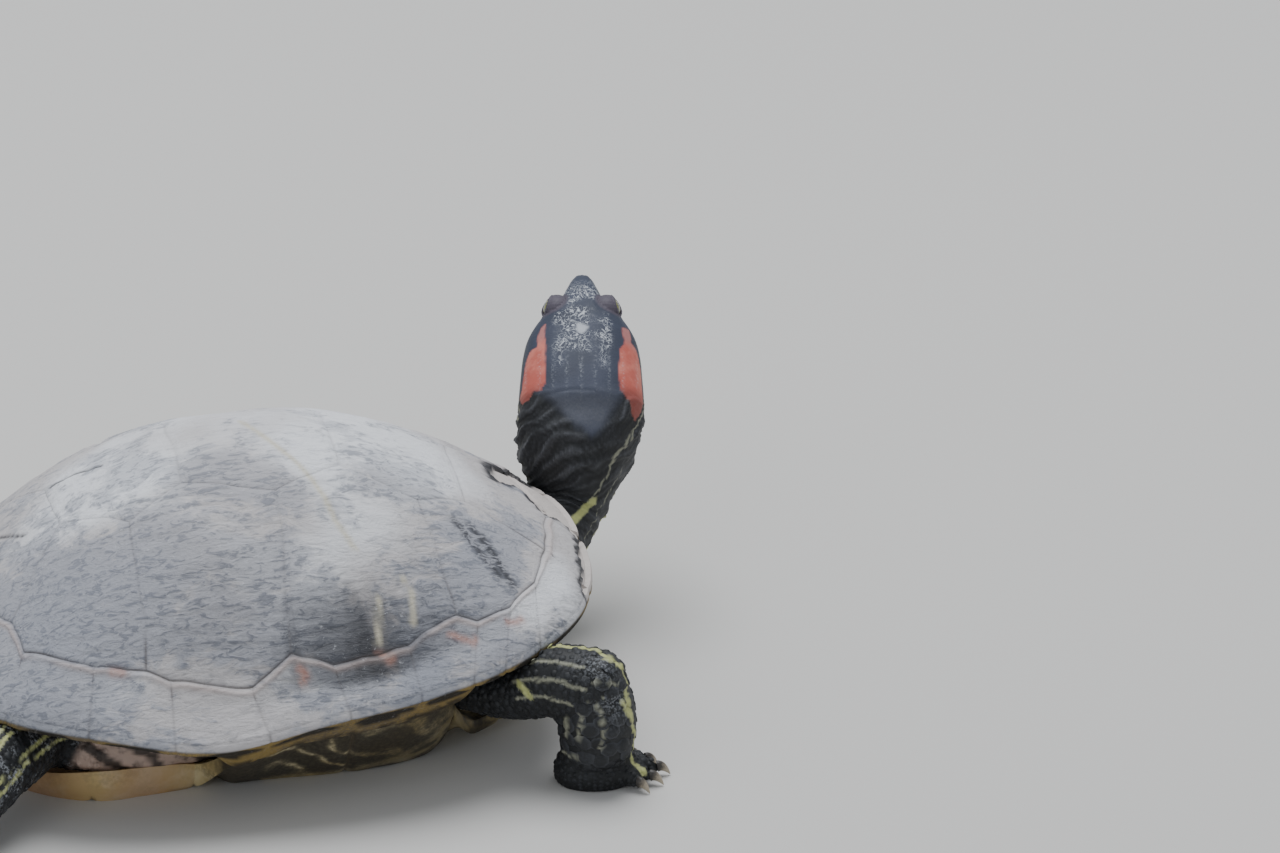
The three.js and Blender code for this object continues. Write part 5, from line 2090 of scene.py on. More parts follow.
@dataclass
class Body:
    """The turtle's soft parts under one skin, and where each of its markings lies."""

    finish: "SkinFinish"
    coat_depth: float = 0.25
    floor_gap: float = 0.12
    crease: float = 22.0
    under_dome: float = 6.0
    under_rim: float = 5.2
    ease_share: float = 0.55
    ease_rounds: int = 30
    flanks: tuple = (
        (-46.0, 46.5, 17.5, (40.0, 17.5, 12.0)),
        (66.0, 36.0, 24.0, (22.0, 14.0, 10.0)),
    )
    cores: dict = field(default_factory=dict)

    def __post_init__(self) -> None:
        """Works out the centre lines once."""
        self.cores = {"head": HEAD.core(), "tail": TAIL}
        self.cores.update({limb.name: limb.core() for limb in LIMBS})

    def pressed(self, points: Array) -> Array:
        """Points kept under the shell and over the floor.

        Args:
            points: places on the skin.

        Returns:
            The moved places.
        """
        f = 0.5 - points[:, 0] / SHELL.length
        y = points[:, 1] / SHELL.length
        part, rim_along = SHELL.radius(f, y)
        inside = part < 1.0
        dome = SHELL.place(f, y, SHELL.dome(f, y))[:, 2] - self.under_dome
        rim = SHELL.place(f, y, SHELL.rim(rim_along))[:, 2] - self.under_rim
        ceiling = mix(dome, np.minimum(dome, rim), smooth(part, 0.76, 0.88))
        points = points.copy()
        points[inside, 2] = np.minimum(points[inside, 2], ceiling[inside])
        points[:, 2] = np.maximum(points[:, 2], self.floor_gap)
        return points

    def grown(self, plastron: Plastron) -> Surface:
        """All soft forms joined into one, with the eyes' places cut out.

        Args:
            plastron: the belly plates.

        Returns:
            The skin before it is eased.
        """
        head = ring_surface(self.cores["head"].rings(HEAD.columns))
        lids = HEAD.lids(1) + HEAD.lids(-1)
        legs = [surface for limb in LIMBS for surface in limb.surfaces()]
        tail = ring_surface(TAIL.rings(40))
        flanks = [
            ellipsoid((x, side * y, z), radii, 2.2)
            for side in (1, -1)
            for x, y, z, radii in self.flanks
        ]
        grown = [head, tail, *flanks, *lids, *legs]
        return combined(Trunk().surface(plastron), grown, HEAD.sockets(1) + HEAD.sockets(-1))

    def eye_distance(self, points: Array) -> Array:
        """Distance from the nearer eye's middle."""
        left, right = (np.linalg.norm(points - HEAD.eye(side)[0], axis=-1) for side in (1, -1))
        return np.minimum(left, right)

    def skin(self, plastron: Plastron) -> Surface:
        """The finished skin: junctions eased, pressed under the shell, folded and creased.

        Args:
            plastron: the belly plates.

        Returns:
            The skin with its marks.
        """
        surface = self.grown(plastron)
        triangles = surface.faces[0]
        points = surface.points
        along, _, _ = HEAD.local(points)
        on_head = smooth(along, -4, 2) * (points[:, 0] > 95) * (points[:, 2] > 60)
        near_paw = fade(points[:, 2], 10, 16)
        reach = mix(mix(6.5, 2.4, near_paw), 1.6, on_head)
        distance = crease_distance(points, triangles, self.crease, 7.0)
        share = self.ease_share * fade(distance / reach, 0.2, 1.0)
        share *= smooth(self.eye_distance(points), 5.75, 6.3)
        points = self.pressed(relaxed(points, triangles, share, self.ease_rounds))
        height = self.relief(points) - self.coat_depth * (self.eye_distance(points) > 6.4)
        points = points + point_normals(points, triangles) * height[:, None]
        points[:, 2] = np.maximum(points[:, 2], self.floor_gap)
        return Surface(points, [triangles], self.marks(points))

    def where(self, points: Array) -> dict[str, tuple[Array, Array, Array, Array]]:
        """Each point's place on every centre line."""
        return {name: core.locate(points) for name, core in self.cores.items()}

    def relief(self, points: Array) -> Array:
        """Folds, creases and the mouth, as height over the smooth body.

        Neck folds are a rounded wave whose crests slant from low on the left to high on the
        right. Legs carry creases across, the rest soft lumps.

        Args:
            points: places on the skin.

        Returns:
            Heights in millimetres.
        """
        place = self.where(points)
        length, a, h, ratio = place["head"]
        # the neck, its nape, sides and cheeks
        folds, _ = self.neck_folds(points, place["head"])
        warp = noise(points, 14.0, 81, 2)
        back = (ratio < 1.5) * (h > 0)
        crease_at = 2.2 - 0.010 * (a - 2) ** 2 + 0.6 * warp
        relief = folds - 0.40 * bell(length - crease_at, 0.6) * smooth(a, -8, -2) * back
        side_folds = smooth(10 - length, 0, 6) * smooth(np.abs(a), 9, 13) * (ratio < 1.5)
        relief += 0.25 * side_folds * (wave(length + 0.3 * np.abs(a) + warp, 1.9) - 0.5)
        cheek = smooth(np.abs(a) / np.maximum(np.hypot(a, h), 1), 0.7, 0.95)
        relief += 1.3 * bell(length + 8, 15) * cheek * (ratio < 1.5)
        relief += self.face_relief(length, a, h, ratio)
        # creases across the legs and the tail, then loose skin between them
        for name in [limb.name for limb in LIMBS] + ["tail"]:
            run, side, high, near = place[name]
            on = smooth(1.7 - near, 0.0, 0.3)
            wrinkle = wave(run + 2.0 * noise(points, 10.0, 87, 2), 4.6) ** 0.7 - 0.6
            relief += on * 0.42 * wrinkle * smooth(points[:, 2], 3, 9)
        elsewhere = smooth(np.minimum.reduce([p[3] for p in place.values()]), 1.3, 1.7)
        sag = wave(0.35 * points[:, 0] + points[:, 2] + 3 * warp, 6.5) - 0.6
        relief += elsewhere * 0.7 * sag
        relief += 0.09 * noise(points, 1.7, 89, 2) * (length < 4) * (self.eye_distance(points) > 7)
        return relief

    def neck_folds(self, points: Array, place: tuple) -> tuple[Array, Array]:
        """The neck's crumpled folds, which leave the smooth nape bare.

        Args:
            points: places on the skin.
            place: the same places along the head's centre line.

        Returns:
            Height, and how much painted highlight each fold crest gets.
        """
        length, a, h, ratio = place
        bare = smooth(HEAD.within(length, a, HEAD.slate, 1.0), -2.0, 0.5) * (h > 1)
        on_neck = smooth(1.6 - ratio, 0.0, 0.25) * fade(length, -3, 7) * (1 - bare)
        slant = length + 0.62 * a - 0.008 * a * a + 6.4 * noise(points, 15.0, 81, 2)
        slant = slant + 1.8 * noise(points, 5.5, 82, 2)
        broad = (1 - wave(slant, 6.4)) ** 1.4
        thin = (1 - wave(slant + 0.4 * a + 1.3 * noise(points, 6.0, 83, 2), 2.7)) ** 1.3
        patchy = 0.3 + 0.7 * smooth(noise(points, 11.0, 85, 2), -0.5, 0.3)
        # painted highlight along the fold crests
        crest = np.clip(broad * patchy + 0.42 * thin, 0, 1) ** 1.6 * on_neck
        return on_neck * (1.35 * broad * patchy + 0.35 * thin - 0.50), crest

    def face_relief(self, length: Array, a: Array, h: Array, ratio: Array) -> Array:
        """Mouth slit, nostrils, ear discs and fine wrinkles of the eyelids.

        Args:
            length: length along the head.
            a: distance to its left.
            h: distance upward.
            ratio: distance in radii.

        Returns:
            Heights in millimetres.
        """
        near = (ratio < 1.6) & (length > -2)
        slit = distance_to_line(np.column_stack([length, h]), HEAD.mouth)
        relief = -0.75 * bell(slit, 0.42) + 0.22 * bell(slit - 1.1, 0.6)
        for side in (1, -1):
            nostril = np.sqrt((length - 60.3) ** 2 + (a - side * 1.5) ** 2 + (h - 0.6) ** 2)
            relief = relief - 0.7 * bell(nostril, 0.55)
            ear = np.hypot(length - 19, h + 3.5)
            relief += (-0.35 * bell(ear - 4.4, 0.7) + 0.15 * bell(ear, 3.0)) * (a * side > 8)
        ahead, out, high = HEAD.eye_at
        to_eye = np.hypot(np.hypot(length - ahead, np.abs(a) - out), h - high)
        relief += 0.07 * bell(to_eye - 5.7, 1.0) * np.sin(np.arctan2(h - high, length - ahead) * 26)
        brow = bell(np.abs(a) - 4.5, 1.6) * smooth(length, 36, 42)
        relief += 0.35 * brow * fade(length, 50, 56) * (h > 4)
        return relief * near

    def marks(self, points: Array) -> dict[str, Array]:
        """Stripes, the red patches, the pale crown specks, the dust, the painted highlight on the
        neck folds and the painted shade in the mouth slit, each 0..1.

        Args:
            points: places on the skin.

        Returns:
            Marks by name.
        """
        place = self.where(points)
        length, a, h, ratio = place["head"]
        angle = np.degrees(np.arctan2(h, a))
        on_head = ratio < 1.7
        ragged = noise(points, 2.2, 91, 3)
        # red patches behind the eyes
        left = HEAD.within(length, angle, HEAD.red_left, HEAD.red_scale)
        right = HEAD.within(length, 180 - angle, HEAD.red_right, HEAD.red_scale)
        uneven = 0.8 * noise(points, 5.0, 94, 2) + 0.25 * ragged
        red = smooth(np.where(a > 0, left, right) + uneven, -0.25, 0.35) * on_head * (h > 0)
        # the slate crown and the dried film on it
        slate = HEAD.within(length, a, HEAD.slate, 1.0) + 0.8 * ragged
        crown = smooth(slate, -2.5, 2.0) * on_head * (h > 0)
        crown = np.maximum(crown, 0.8 * on_head * smooth(length, 4, 9) * (h > -3))
        crown = crown * (1 - 0.16 * smooth(length, 3, 9))
        cover = smooth(length, 13, 24) * (1 - 0.62 * smooth(length, 44, 56))
        cover = cover * fade(np.abs(a), 8, 13.5)
        cover *= 0.20 + 0.80 * smooth(noise(points, 6.0, 93, 2), -0.35, 0.25)
        trail = 0.5 * smooth(length, 8, 14) * bell(np.abs(a) - 8, 2.4) * fade(length, 26, 34)
        big = fade(np.hypot(0.8 * (length - 28.6), a + 0.1) + 1.2 * ragged, 1.5, 2.5)
        cover = np.maximum(cover, trail) * (h > 3) * on_head
        cover *= smooth(self.eye_distance(points), 6.2, 7.4)
        big *= (h > 5) * on_head
        # stripes
        pale = np.zeros(len(points))
        yellow = np.zeros(len(points))
        for name, stripes in STRIPES.items():
            run, side, high, near = place[name]
            turn = np.degrees(np.arctan2(high, side))
            for stripe in stripes:
                line = np.array(stripe.line, float)
                middle = line[:, 1].mean()
                swing = (turn - middle + 180) % 360 - 180 + middle
                scale = HEAD_TURN if name == "head" else LEG_TURN
                flat = np.stack([run + 0.5 * ragged, (swing + 2.0 * ragged) * scale], -1)
                away = distance_to_line(flat, line * np.array([1.0, scale]))
                band = fade(away / stripe.width, 0.6, 1.1) * (near < 1.7)
                if name == "hindleg_right":
                    band *= smooth(noise(points, 6.0, 97, 2), -0.35, 0.05)
                pale = np.maximum(pale, band * min(1.0, stripe.strength))
                yellow = np.maximum(yellow, band * (stripe.strength > 1.0))
        # lids, painted shade in the mouth slit, painted highlight on the neck folds, dust on the
        # shoulder and the pale skin in the pockets of the legs
        nearest = np.minimum.reduce([p[3] for p in place.values()])
        under, _ = SHELL.radius(0.5 - points[:, 0] / SHELL.length, points[:, 1] / SHELL.length)
        eye = self.eye_distance(points)
        slit = distance_to_line(np.column_stack([length, h]), HEAD.mouth)
        _, crest = self.neck_folds(points, place["head"])
        run, side, high, near = place["foreleg_right"]
        mottled = 0.5 * (place["hindleg_right"][3] < 1.6)
        mottled = mottled * smooth(noise(points, 4.5, 98, 3), 0.0, 0.25)
        shoulder = 0.45 * bell(run - 60, 6) * bell(np.degrees(np.arctan2(high, side)) - 118, 24)
        lines = 0.5 * bell(a - 5.0 * np.round(a / 5.0) + 0.3 * ragged, 0.5)
        lines = lines * crown * bell(length - 12, 8)
        bars = np.sin(0.42 * points[:, 0] + 0.5 * points[:, 2] + 2.5 * noise(points, 9.0, 99, 2))
        pocket = smooth(nearest, 1.15, 1.4) * fade(under, 0.90, 0.96) * fade(points[:, 0], -5, 20)
        return {
            "red": red,
            "blush": red * mix(smooth(length, 22, 28), -1.0, fade(length, 2, 8)),
            "crown": crown,
            # painted highlight on the neck's fold crests, and a lighter patch where the crown meets
            # the nape
            "crest": np.maximum(crest, crown * bell(length + 5, 7)),
            "cover": np.clip(cover, 0, 1),
            "blob": np.clip(big, 0, 1),
            "pale": np.clip(pale, 0, 1) * (1 - red),
            "yellow": np.clip(yellow, 0, 1) * (1 - red),
            "lid": fade(eye, 5.9, 7.4),
            "pocket": pocket,
            "bars": smooth(bars, 0.1, 0.6),
            # painted shade along the mouth slit
            "mouth": bell(slit, 0.5) * on_head * (length > 30),
            "dust": np.maximum(np.maximum(shoulder * (near < 1.5), mottled), lines),
        }

    def build(self, studio: Studio, plastron: Plastron) -> Surface:
        """Makes the skin and returns its surface for the scales."""
        skin = self.skin(plastron)
        nodes = ["trunk", "neck", "head", "tail"] + [limb.name for limb in LIMBS]
        studio.piece("skin", skin, self.finish, nodes, sharp=80.0)
        return skin


def leg_stripes(
    turns: Sequence[float], start: float, end: float, width: float, strength: float
) -> tuple:
    """Stripes down a leg at some angles, a little bent.

    Args:
        turns: degrees round the leg.
        start: where they start along it.
        end: where they end.
        width: their half width.
        strength: how pale they are.

    Returns:
        The stripes.
    """
    made = []
    for k, turn in enumerate(turns):
        line = ((start, turn), (mix(start, end, 0.5), turn + 7 * (-1) ** k), (end, turn - 3))
        made.append(Stripe(line, width, strength))
    return tuple(made)


STRIPES = {
    "head": (
        Stripe(((32, 14), (22, 9), (12, 7), (3, 6), (-3, 9)), 0.55),
        Stripe(((34, -28), (22, -30), (8, -32), (-10, -34), (-34, -30), (-70, -30)), 1.2, 1.2),
        Stripe(((44, -60), (30, -62), (12, -60), (-10, -62), (-40, -60), (-75, -60)), 1.1, 1.2),
        Stripe(((55, -90), (38, -90), (20, -92), (-10, -90), (-60, -90)), 1.0, 1.2),
        Stripe(
            ((44, -120), (30, -118), (12, -120), (-10, -118), (-40, -120), (-75, -120)), 1.1, 1.2
        ),
        Stripe(
            ((34, -152), (22, -150), (8, -148), (-10, -146), (-34, -150), (-70, -150)), 1.2, 1.2
        ),
        Stripe(((32, 166), (22, 171), (12, 173), (3, 174), (-3, 174)), 0.55),
        Stripe((
            (-4, 176), (-10, 175), (-15, 168), (-21, 151), (-25, 143), (-29, 146), (-35, 148),
            (-44, 141),
        ), 0.34),
        Stripe(((-31, 151), (-36, 147), (-41, 143), (-45, 139)), 2.3, 1.2),
        Stripe(((-20, 166), (-27, 166), (-32, 173), (-38, 174), (-46, 175)), 0.32, 0.8),
    ),
    "foreleg_right": (
        Stripe(((40, 92), (46, 86), (52, 82), (57, 80), (62, 93), (68, 90)), 0.9, 1.2),
        Stripe(((36, 122), (45, 124), (51, 126), (56, 126)), 0.6),
        Stripe(((36, 152), (45, 156), (50, 155), (53, 158), (58, 160)), 0.6),
        Stripe(((36, 182), (45, 182), (48, 185), (51, 188), (54, 190)), 0.6),
        Stripe(((38, 156), (40, 170), (41, 182)), 1.1, 1.2),
        Stripe(((60, 147), (63, 143), (67, 142), (71, 145), (74, 150)), 0.5),
        Stripe(((64, 171), (68, 177), (72, 182)), 0.5),
        Stripe(((65, 200), (68, 201), (71, 202)), 1.2),
        Stripe(((81, 222), (79.6, 200), (79, 183)), 0.75),
        Stripe(((62, 106), (66, 96), (70, 90), (75, 78), (80, 75), (86, 74), (90, 81)), 0.75, 1.2),
    ),
    "foreleg_left": leg_stripes((35, 70, 105, 140), 20, 78, 0.8, 1.2),
    "hindleg_right": leg_stripes((8, 32, 56, 84, 112), 18, 84, 0.7, 1.2),
    "hindleg_left": leg_stripes((60, 92, 122, 150, 176), 18, 84, 0.7, 1.2),
    "tail": leg_stripes((50, 130), 8, 62, 0.6, 1.0),
}


# ---- scales


@dataclass
class Scales:
    """Small overlapping horn scales rooted in the skin of the legs, the feet and the tail."""

    finish: "SkinFinish"
    body: Body
    sides: int = 8
    wide: float = 0.60
    height: float = 0.15
    sunk: float = 0.22
    patch: float = 0.003
    longest: float = 125.0
    reach: float = 1.9
    lowest: float = 1.2
    deepest: float = 0.62
    seed: int = 7

    def spacing(self, name: str, place: tuple, points: Array) -> Array:
        """Distance between scales: smallest on the toes, plates down the lower foreleg.

        Args:
            name: the leg or the tail.
            place: places along it.
            points: the same places.

        Returns:
            Millimetres between scales.
        """
        run, side, high, _ = place
        turn = np.degrees(np.arctan2(high, side)) % 360
        size = np.full(len(points), 1.9 if name == "tail" else 2.2)
        if name.startswith("foreleg"):
            outer = smooth(turn, 0, 30)
            if name.endswith("right"):
                outer = smooth(turn, 60, 95) * fade(turn, 200, 235)
            size += 2.8 * smooth(run, 56, 61) * fade(run, 80, 85) * outer
        return mix(1.5, size, smooth(points[:, 2], 5, 12))

    def roots(self, points: Array, gaps: Array) -> Array:
        """Indices of points picked in random order, none nearer to another than its gap.

        Args:
            points: places on the skin.
            gaps: the gap at each.

        Returns:
            Indices of the picked places.
        """
        tree = KDTree(len(points))
        for index, point in enumerate(points):
            tree.insert(point, index)
        tree.balance()
        order = np.random.default_rng(self.seed).permutation(len(points))
        free = np.ones(len(points), bool)
        picked = []
        for index in order:
            if free[index]:
                picked.append(index)
                for _, near, _ in tree.find_range(points[index], gaps[index]):
                    free[near] = False
        return np.array(picked)

    def surface(
        self, points: Array, normals: Array, lie: Array, gaps: Array, toss: Array
    ) -> Surface:
        """Closed domed scales in one mesh.

        Args:
            points: roots on the skin.
            normals: the ways out of the skin.
            lie: the way the scales point.
            gaps: distance to the next scale.
            toss: random numbers of 0..1, three for each scale.

        Returns:
            Each scale as a top, a ring, an edge under the skin and a foot.
        """
        along = unit(lie - np.sum(lie * normals, -1, keepdims=True) * normals)
        across = np.cross(normals, along)
        turn = 2 * math.pi * (np.arange(self.sides) + 0.5) / self.sides
        span = gaps[:, None] * self.wide * (0.9 + 0.25 * toss[:, :1])
        cos, sin = np.cos(turn) * span * 1.02, np.sin(turn) * span * (1.0 + 0.15 * toss[:, 1:2])
        rise = gaps * self.height * (0.7 + 0.6 * toss[:, 2])

        def ring(share: float, high: Array) -> Array:
            """One ring of a scale at a share of its span, lifted at its free end."""
            level = high[:, None] + 0.10 * share * cos
            return (
                points[:, None] + (share * cos)[..., None] * along[:, None]
                + (share * sin)[..., None] * across[:, None] + level[..., None] * normals[:, None]
            )

        low = np.full(len(points), -self.sunk)
        top = points + normals * rise[:, None]
        foot = points + normals * (low - 0.25)[:, None]
        rows = np.concatenate(
            [top[:, None], ring(0.62, rise * 0.86), ring(1.0, low), foot[:, None]], axis=1
        )
        k = np.arange(self.sides)
        after = (k + 1) % self.sides
        fans = np.concatenate([
            np.stack([0 * k, 1 + k, 1 + after], -1),
            np.stack([0 * k + 2 * self.sides + 1, 1 + self.sides + after, 1 + self.sides + k], -1),
        ])
        walls = np.stack([1 + k, 1 + self.sides + k, 1 + self.sides + after, 1 + after], -1)
        shift = (np.arange(len(points)) * rows.shape[1])[:, None, None]
        faces = [(block[None] + shift).reshape(-1, block.shape[1]) for block in (fans, walls)]
        return Surface(rows.reshape(-1, 3), faces)

    def unwrap(self, mesh: bpy.types.Mesh, island: int, place: tuple) -> None:
        """Lays each scale as a small patch at its root's place: length along, angle round.

        Args:
            mesh: the coat's mesh.
            island: the coat's number.
            place: its roots along the leg or tail.
        """
        run, side, high, _ = place
        turn = (np.arctan2(high, side) / (2 * math.pi)) % 1.0
        u = 0.2 * island + 0.01 + 0.18 * np.clip(run / self.longest, 0, 1)
        v = 0.01 + 0.98 * turn
        angle = 2 * math.pi * (np.arange(self.sides) + 0.5) / self.sides
        reach = np.repeat([0.0, 0.31, 0.5, 0.0], [1, self.sides, self.sides, 1]) * self.patch
        angle = np.concatenate([[0.0], angle, angle, [0.0]])
        flat = np.stack([
            u[:, None] + reach * np.cos(angle), v[:, None] + reach * np.sin(angle),
        ], -1)
        layer = mesh.uv_layers.new(name="OFBake")
        index = np.empty(len(mesh.loops), np.int32)
        mesh.loops.foreach_get("vertex_index", index)
        layer.data.foreach_set("uv", flat.reshape(-1, 2)[index].astype(np.float32).ravel())

    def build(self, studio: Studio, skin: Surface) -> None:
        """Makes one coat piece for each leg and for the tail.

        Args:
            studio: what adds the pieces.
            skin: the surface that the scales root in.
        """
        normals = point_normals(skin.points, skin.faces[0])
        place = self.body.where(skin.points)
        nearest = np.minimum.reduce([p[3] for p in place.values()])
        shift = 0.5 - skin.points[:, 0] / SHELL.length
        deep, _ = SHELL.radius(shift, skin.points[:, 1] / SHELL.length)
        for island, name in enumerate([limb.name for limb in LIMBS] + ["tail"]):
            core = self.body.cores[name]
            own = place[name]
            on = (own[3] <= nearest + 1e-6) & (own[3] < self.reach)
            on = on & (skin.points[:, 2] > self.lowest) & (deep > self.deepest)
            found = np.nonzero(on)[0]
            gaps = self.spacing(name, tuple(p[found] for p in own), skin.points[found])
            picked = self.roots(skin.points[found], gaps)
            at = found[picked]
            row = np.clip(np.searchsorted(core.lengths, own[0][at]), 0, len(core.lengths) - 1)
            toss = np.random.default_rng(self.seed + island).random((len(at), 3))
            lie = core.directions[row]
            shape = self.surface(skin.points[at], normals[at], lie, gaps[picked], toss)
            shape.marks = self.body.marks(shape.points)
            shape.marks["tone"] = np.repeat(toss[:, 0] * 0.5, len(shape.points) // len(at))
            # painted sheen: the edge rings of the big forearm plates are lightened, while small
            # scales keep dark edges
            worn = 1.3 * smooth(gaps[picked], 3.0, 4.2)
            for edge in range(self.sides + 1, 2 * self.sides + 2):
                shape.marks["tone"][edge :: 2 * self.sides + 2] = worn
            shape.points[:, 2] = np.maximum(shape.points[:, 2], self.body.floor_gap)
            mesh = shape.to_mesh(f"scales_{name}")
            self.unwrap(mesh, island, tuple(p[at] for p in own))
            studio.piece(f"scales_{name}", mesh, self.finish, sharp=50.0)


# ---- eyes and claws


@dataclass
class Eyes:
    """The eyeballs behind the lids, with a clear bulge over the iris."""

    finish: "EyeFinish"
    rows: int = 90
    columns: int = 72
    bulge: float = 0.18
    pupil: float = 17.0
    iris: float = 44.0

    def ball(self, side: int) -> Surface:
        """One eyeball as rings round the way it looks.

        Args:
            side: 1 for the left, -1 for the right.

        Returns:
            Its surface.
        """
        middle, look, level, upright = HEAD.eye(side)
        polar = np.linspace(0, math.pi, self.rows + 2)[1:-1, None]
        turn = np.linspace(0, 2 * math.pi, self.columns, endpoint=False)[None]
        degrees = np.degrees(polar)
        radius = HEAD.eye_radius - 0.03 - self.bulge * smooth(degrees, 20, 60) + 0 * turn
        across, high = np.sin(polar) * np.cos(turn), np.sin(polar) * np.sin(turn)
        ahead = np.cos(polar) + 0 * turn
        way = across[..., None] * level + high[..., None] * upright + ahead[..., None] * look
        points = middle + radius[..., None] * way
        ring = degrees + 0 * turn + 0.8 * noise(way * 40.0, 9.0, 101, 2)
        spokes = np.stack([np.cos(turn) * 30, np.sin(turn) * 30, 0 * turn], -1) + 0 * way
        marks = {
            "pupil": fade(ring, self.pupil - 1, self.pupil + 1),
            "iris": fade(ring, self.iris - 2, self.iris + 2),
            "bar": bell(np.degrees(np.arcsin(np.clip(high, -1, 1))), 9.0),
            "rays": 0.5 + 0.5 * noise(spokes, 2.2, 103, 2),
        }
        return ring_surface(points, marks)

    def build(self, studio: Studio) -> None:
        """Makes both eyes."""
        for name, side in (("left", 1), ("right", -1)):
            studio.piece(f"eyeball_{name}", self.ball(side), self.finish, [f"eye_{name}"])


@dataclass
class Claws:
    """Curved horn claws, one for each toe."""

    finish: "ClawFinish"

    def build(self, studio: Studio) -> None:
        """Makes the claws of all paws."""
        for limb in LIMBS:
            for number in range(limb.toes.count):
                node = f"claw_{limb.name}_{number + 1}"
                studio.piece(f"{node}_horn", limb.claw(number), self.finish, [node])


# ---- finishes


@dataclass
class ShellFinish(Finish):
    """Dusty cream-grey horn with bluish wrinkled patches, dark low down, a painted shadow along the
    chip's torn edge, and a yellow underside.
    """

    name: str = "dusty shell horn"
    dust: Colour = (0.54, 0.515, 0.515)
    dust_light: Colour = (0.80, 0.815, 0.85)
    dust_blue: Colour = (0.30, 0.32, 0.375)
    horn_blue: Colour = (0.135, 0.150, 0.192)
    dark_horn_and_shadow: Colour = (0.030, 0.030, 0.035)
    seam: Colour = (0.10, 0.09, 0.09)
    lip: Colour = (0.50, 0.41, 0.385)
    pale: Colour = (0.62, 0.57, 0.42)
    orange: Colour = (0.50, 0.22, 0.15)
    bone: Colour = (0.60, 0.55, 0.52)
    yellow: Colour = (0.27, 0.19, 0.062)
    ink: Colour = (0.014, 0.013, 0.012)
    stain: Colour = (0.12, 0.098, 0.072)

    def build(self, graph: Graph) -> bpy.types.Material:
        """Wires dust over wrinkled horn over seams, and the ink pattern of the underside.

        Args:
            graph: the material's nodes.

        Returns:
            The material.
        """
        broad = graph.grain(0.075, 3, 0.5)
        patches = graph.grain(0.046, 5, 0.60, bend=0.7)
        folds = graph.grain(0.0062, 4, 0.62, (0.42, 1.0, 0.85), bend=1.4)
        wrinkles = graph.grain(0.0022, 4, 0.62, (0.32, 1.0, 1.0), bend=1.1)
        fine = graph.grain(0.0010, 4, 0.65)
        specks = graph.grain(0.0022, 5, 0.7)
        low, dark, zone = map(graph.mark, ("low", "dark", "zone"))
        light = (broad * 1.2 - low * 0.42 - zone * 0.30).step(0.26, 0.64)
        blue = (patches + (folds - 0.5) * 0.38 + low * 0.06 + zone * 0.17).step(0.49, 0.59)
        lines = (wrinkles + (folds - 0.5) * 0.35).step(0.50, 0.62)
        bare = dark * 1.5 + (patches - 0.5) * 1.1 + (wrinkles - 0.5) * 1.0 + (specks - 0.5) * 0.8
        bare = bare.step(0.10, 1.0)
        top = graph.coats(
            self.dust,
            (self.dust_light, light),
            (self.dust_blue, blue * (0.40 + low * 0.22 + zone * 0.20) + low * 0.10),
            (self.horn_blue, lines * (0.06 + blue * 0.46 + dark * 0.20)),
            (self.dark_horn_and_shadow, bare * (0.08 + dark * 0.90)),
            (self.orange, graph.mark("orange") * (0.25 + fine * 0.6)),
            (self.pale, graph.mark("pale") * 0.72),
            (self.dark_horn_and_shadow, graph.mark("scratch") * (wrinkles.step(0.42, 0.54) * 0.65 + 0.2)),
            (self.dust_light, specks.step(0.60, 0.70) * 0.28),
            (self.lip, graph.mark("lip") * 0.60),
            (self.seam, graph.mark("seam") * 0.72),
            (self.bone, graph.mark("worn") * 0.95),
            # painted shadow along the chip's torn edge, over the real cracks
            (self.dark_horn_and_shadow, graph.mark("crack") * 0.92),
        )
        under = graph.coats(
            self.yellow,
            (self.stain, (patches + (fine - 0.5) * 0.6).step(0.38, 0.62) * 0.8),
            (self.ink, graph.mark("ink") * 0.94),
            (self.dust, specks.step(0.56, 0.75) * 0.22),
        )
        colour = graph.blend(top, under, graph.mark("under"))
        rough = 0.60 + (1 - bare) * 0.22 + (fine - 0.5) * 0.1
        graph.relief(folds * 0.8 + wrinkles * 0.7 + fine * 0.2, 0.0011, 0.9)
        return graph.finish({"Base Color": colour, "Roughness": rough, "Specular IOR Level": 0.35})


@dataclass
class BellyFinish(Finish):
    """Yellow belly horn with dark blotches, a reddish hind lobe and dirt in the seams."""

    name: str = "yellow belly horn"
    yellow: Colour = (0.60, 0.47, 0.21)
    pale: Colour = (0.72, 0.62, 0.38)
    ink: Colour = (0.02, 0.017, 0.014)
    red: Colour = (0.40, 0.16, 0.085)
    dirt: Colour = (0.10, 0.078, 0.05)

    def build(self, graph: Graph) -> bpy.types.Material:
        """Wires yellow, red and ink with dirt over them.

        Args:
            graph: the material's nodes.

        Returns:
            The material.
        """
        patches = graph.grain(0.020, 4, 0.6)
        fine = graph.grain(0.0015, 4, 0.6)
        colour = graph.coats(
            self.yellow,
            (self.pale, patches.step(0.4, 0.65)),
            (self.red, graph.mark("red") * 0.85),
            (self.dirt, graph.mark("grime") * fine.step(0.35, 0.6) * 0.7),
            (self.ink, graph.mark("ink") * 0.92),
            (self.dirt, graph.mark("seam") * 0.8),
        )
        graph.relief(fine, 0.0002, 0.6)
        rough = 0.42 + fine * 0.25
        return graph.finish({"Base Color": colour, "Roughness": rough, "Specular IOR Level": 0.45})


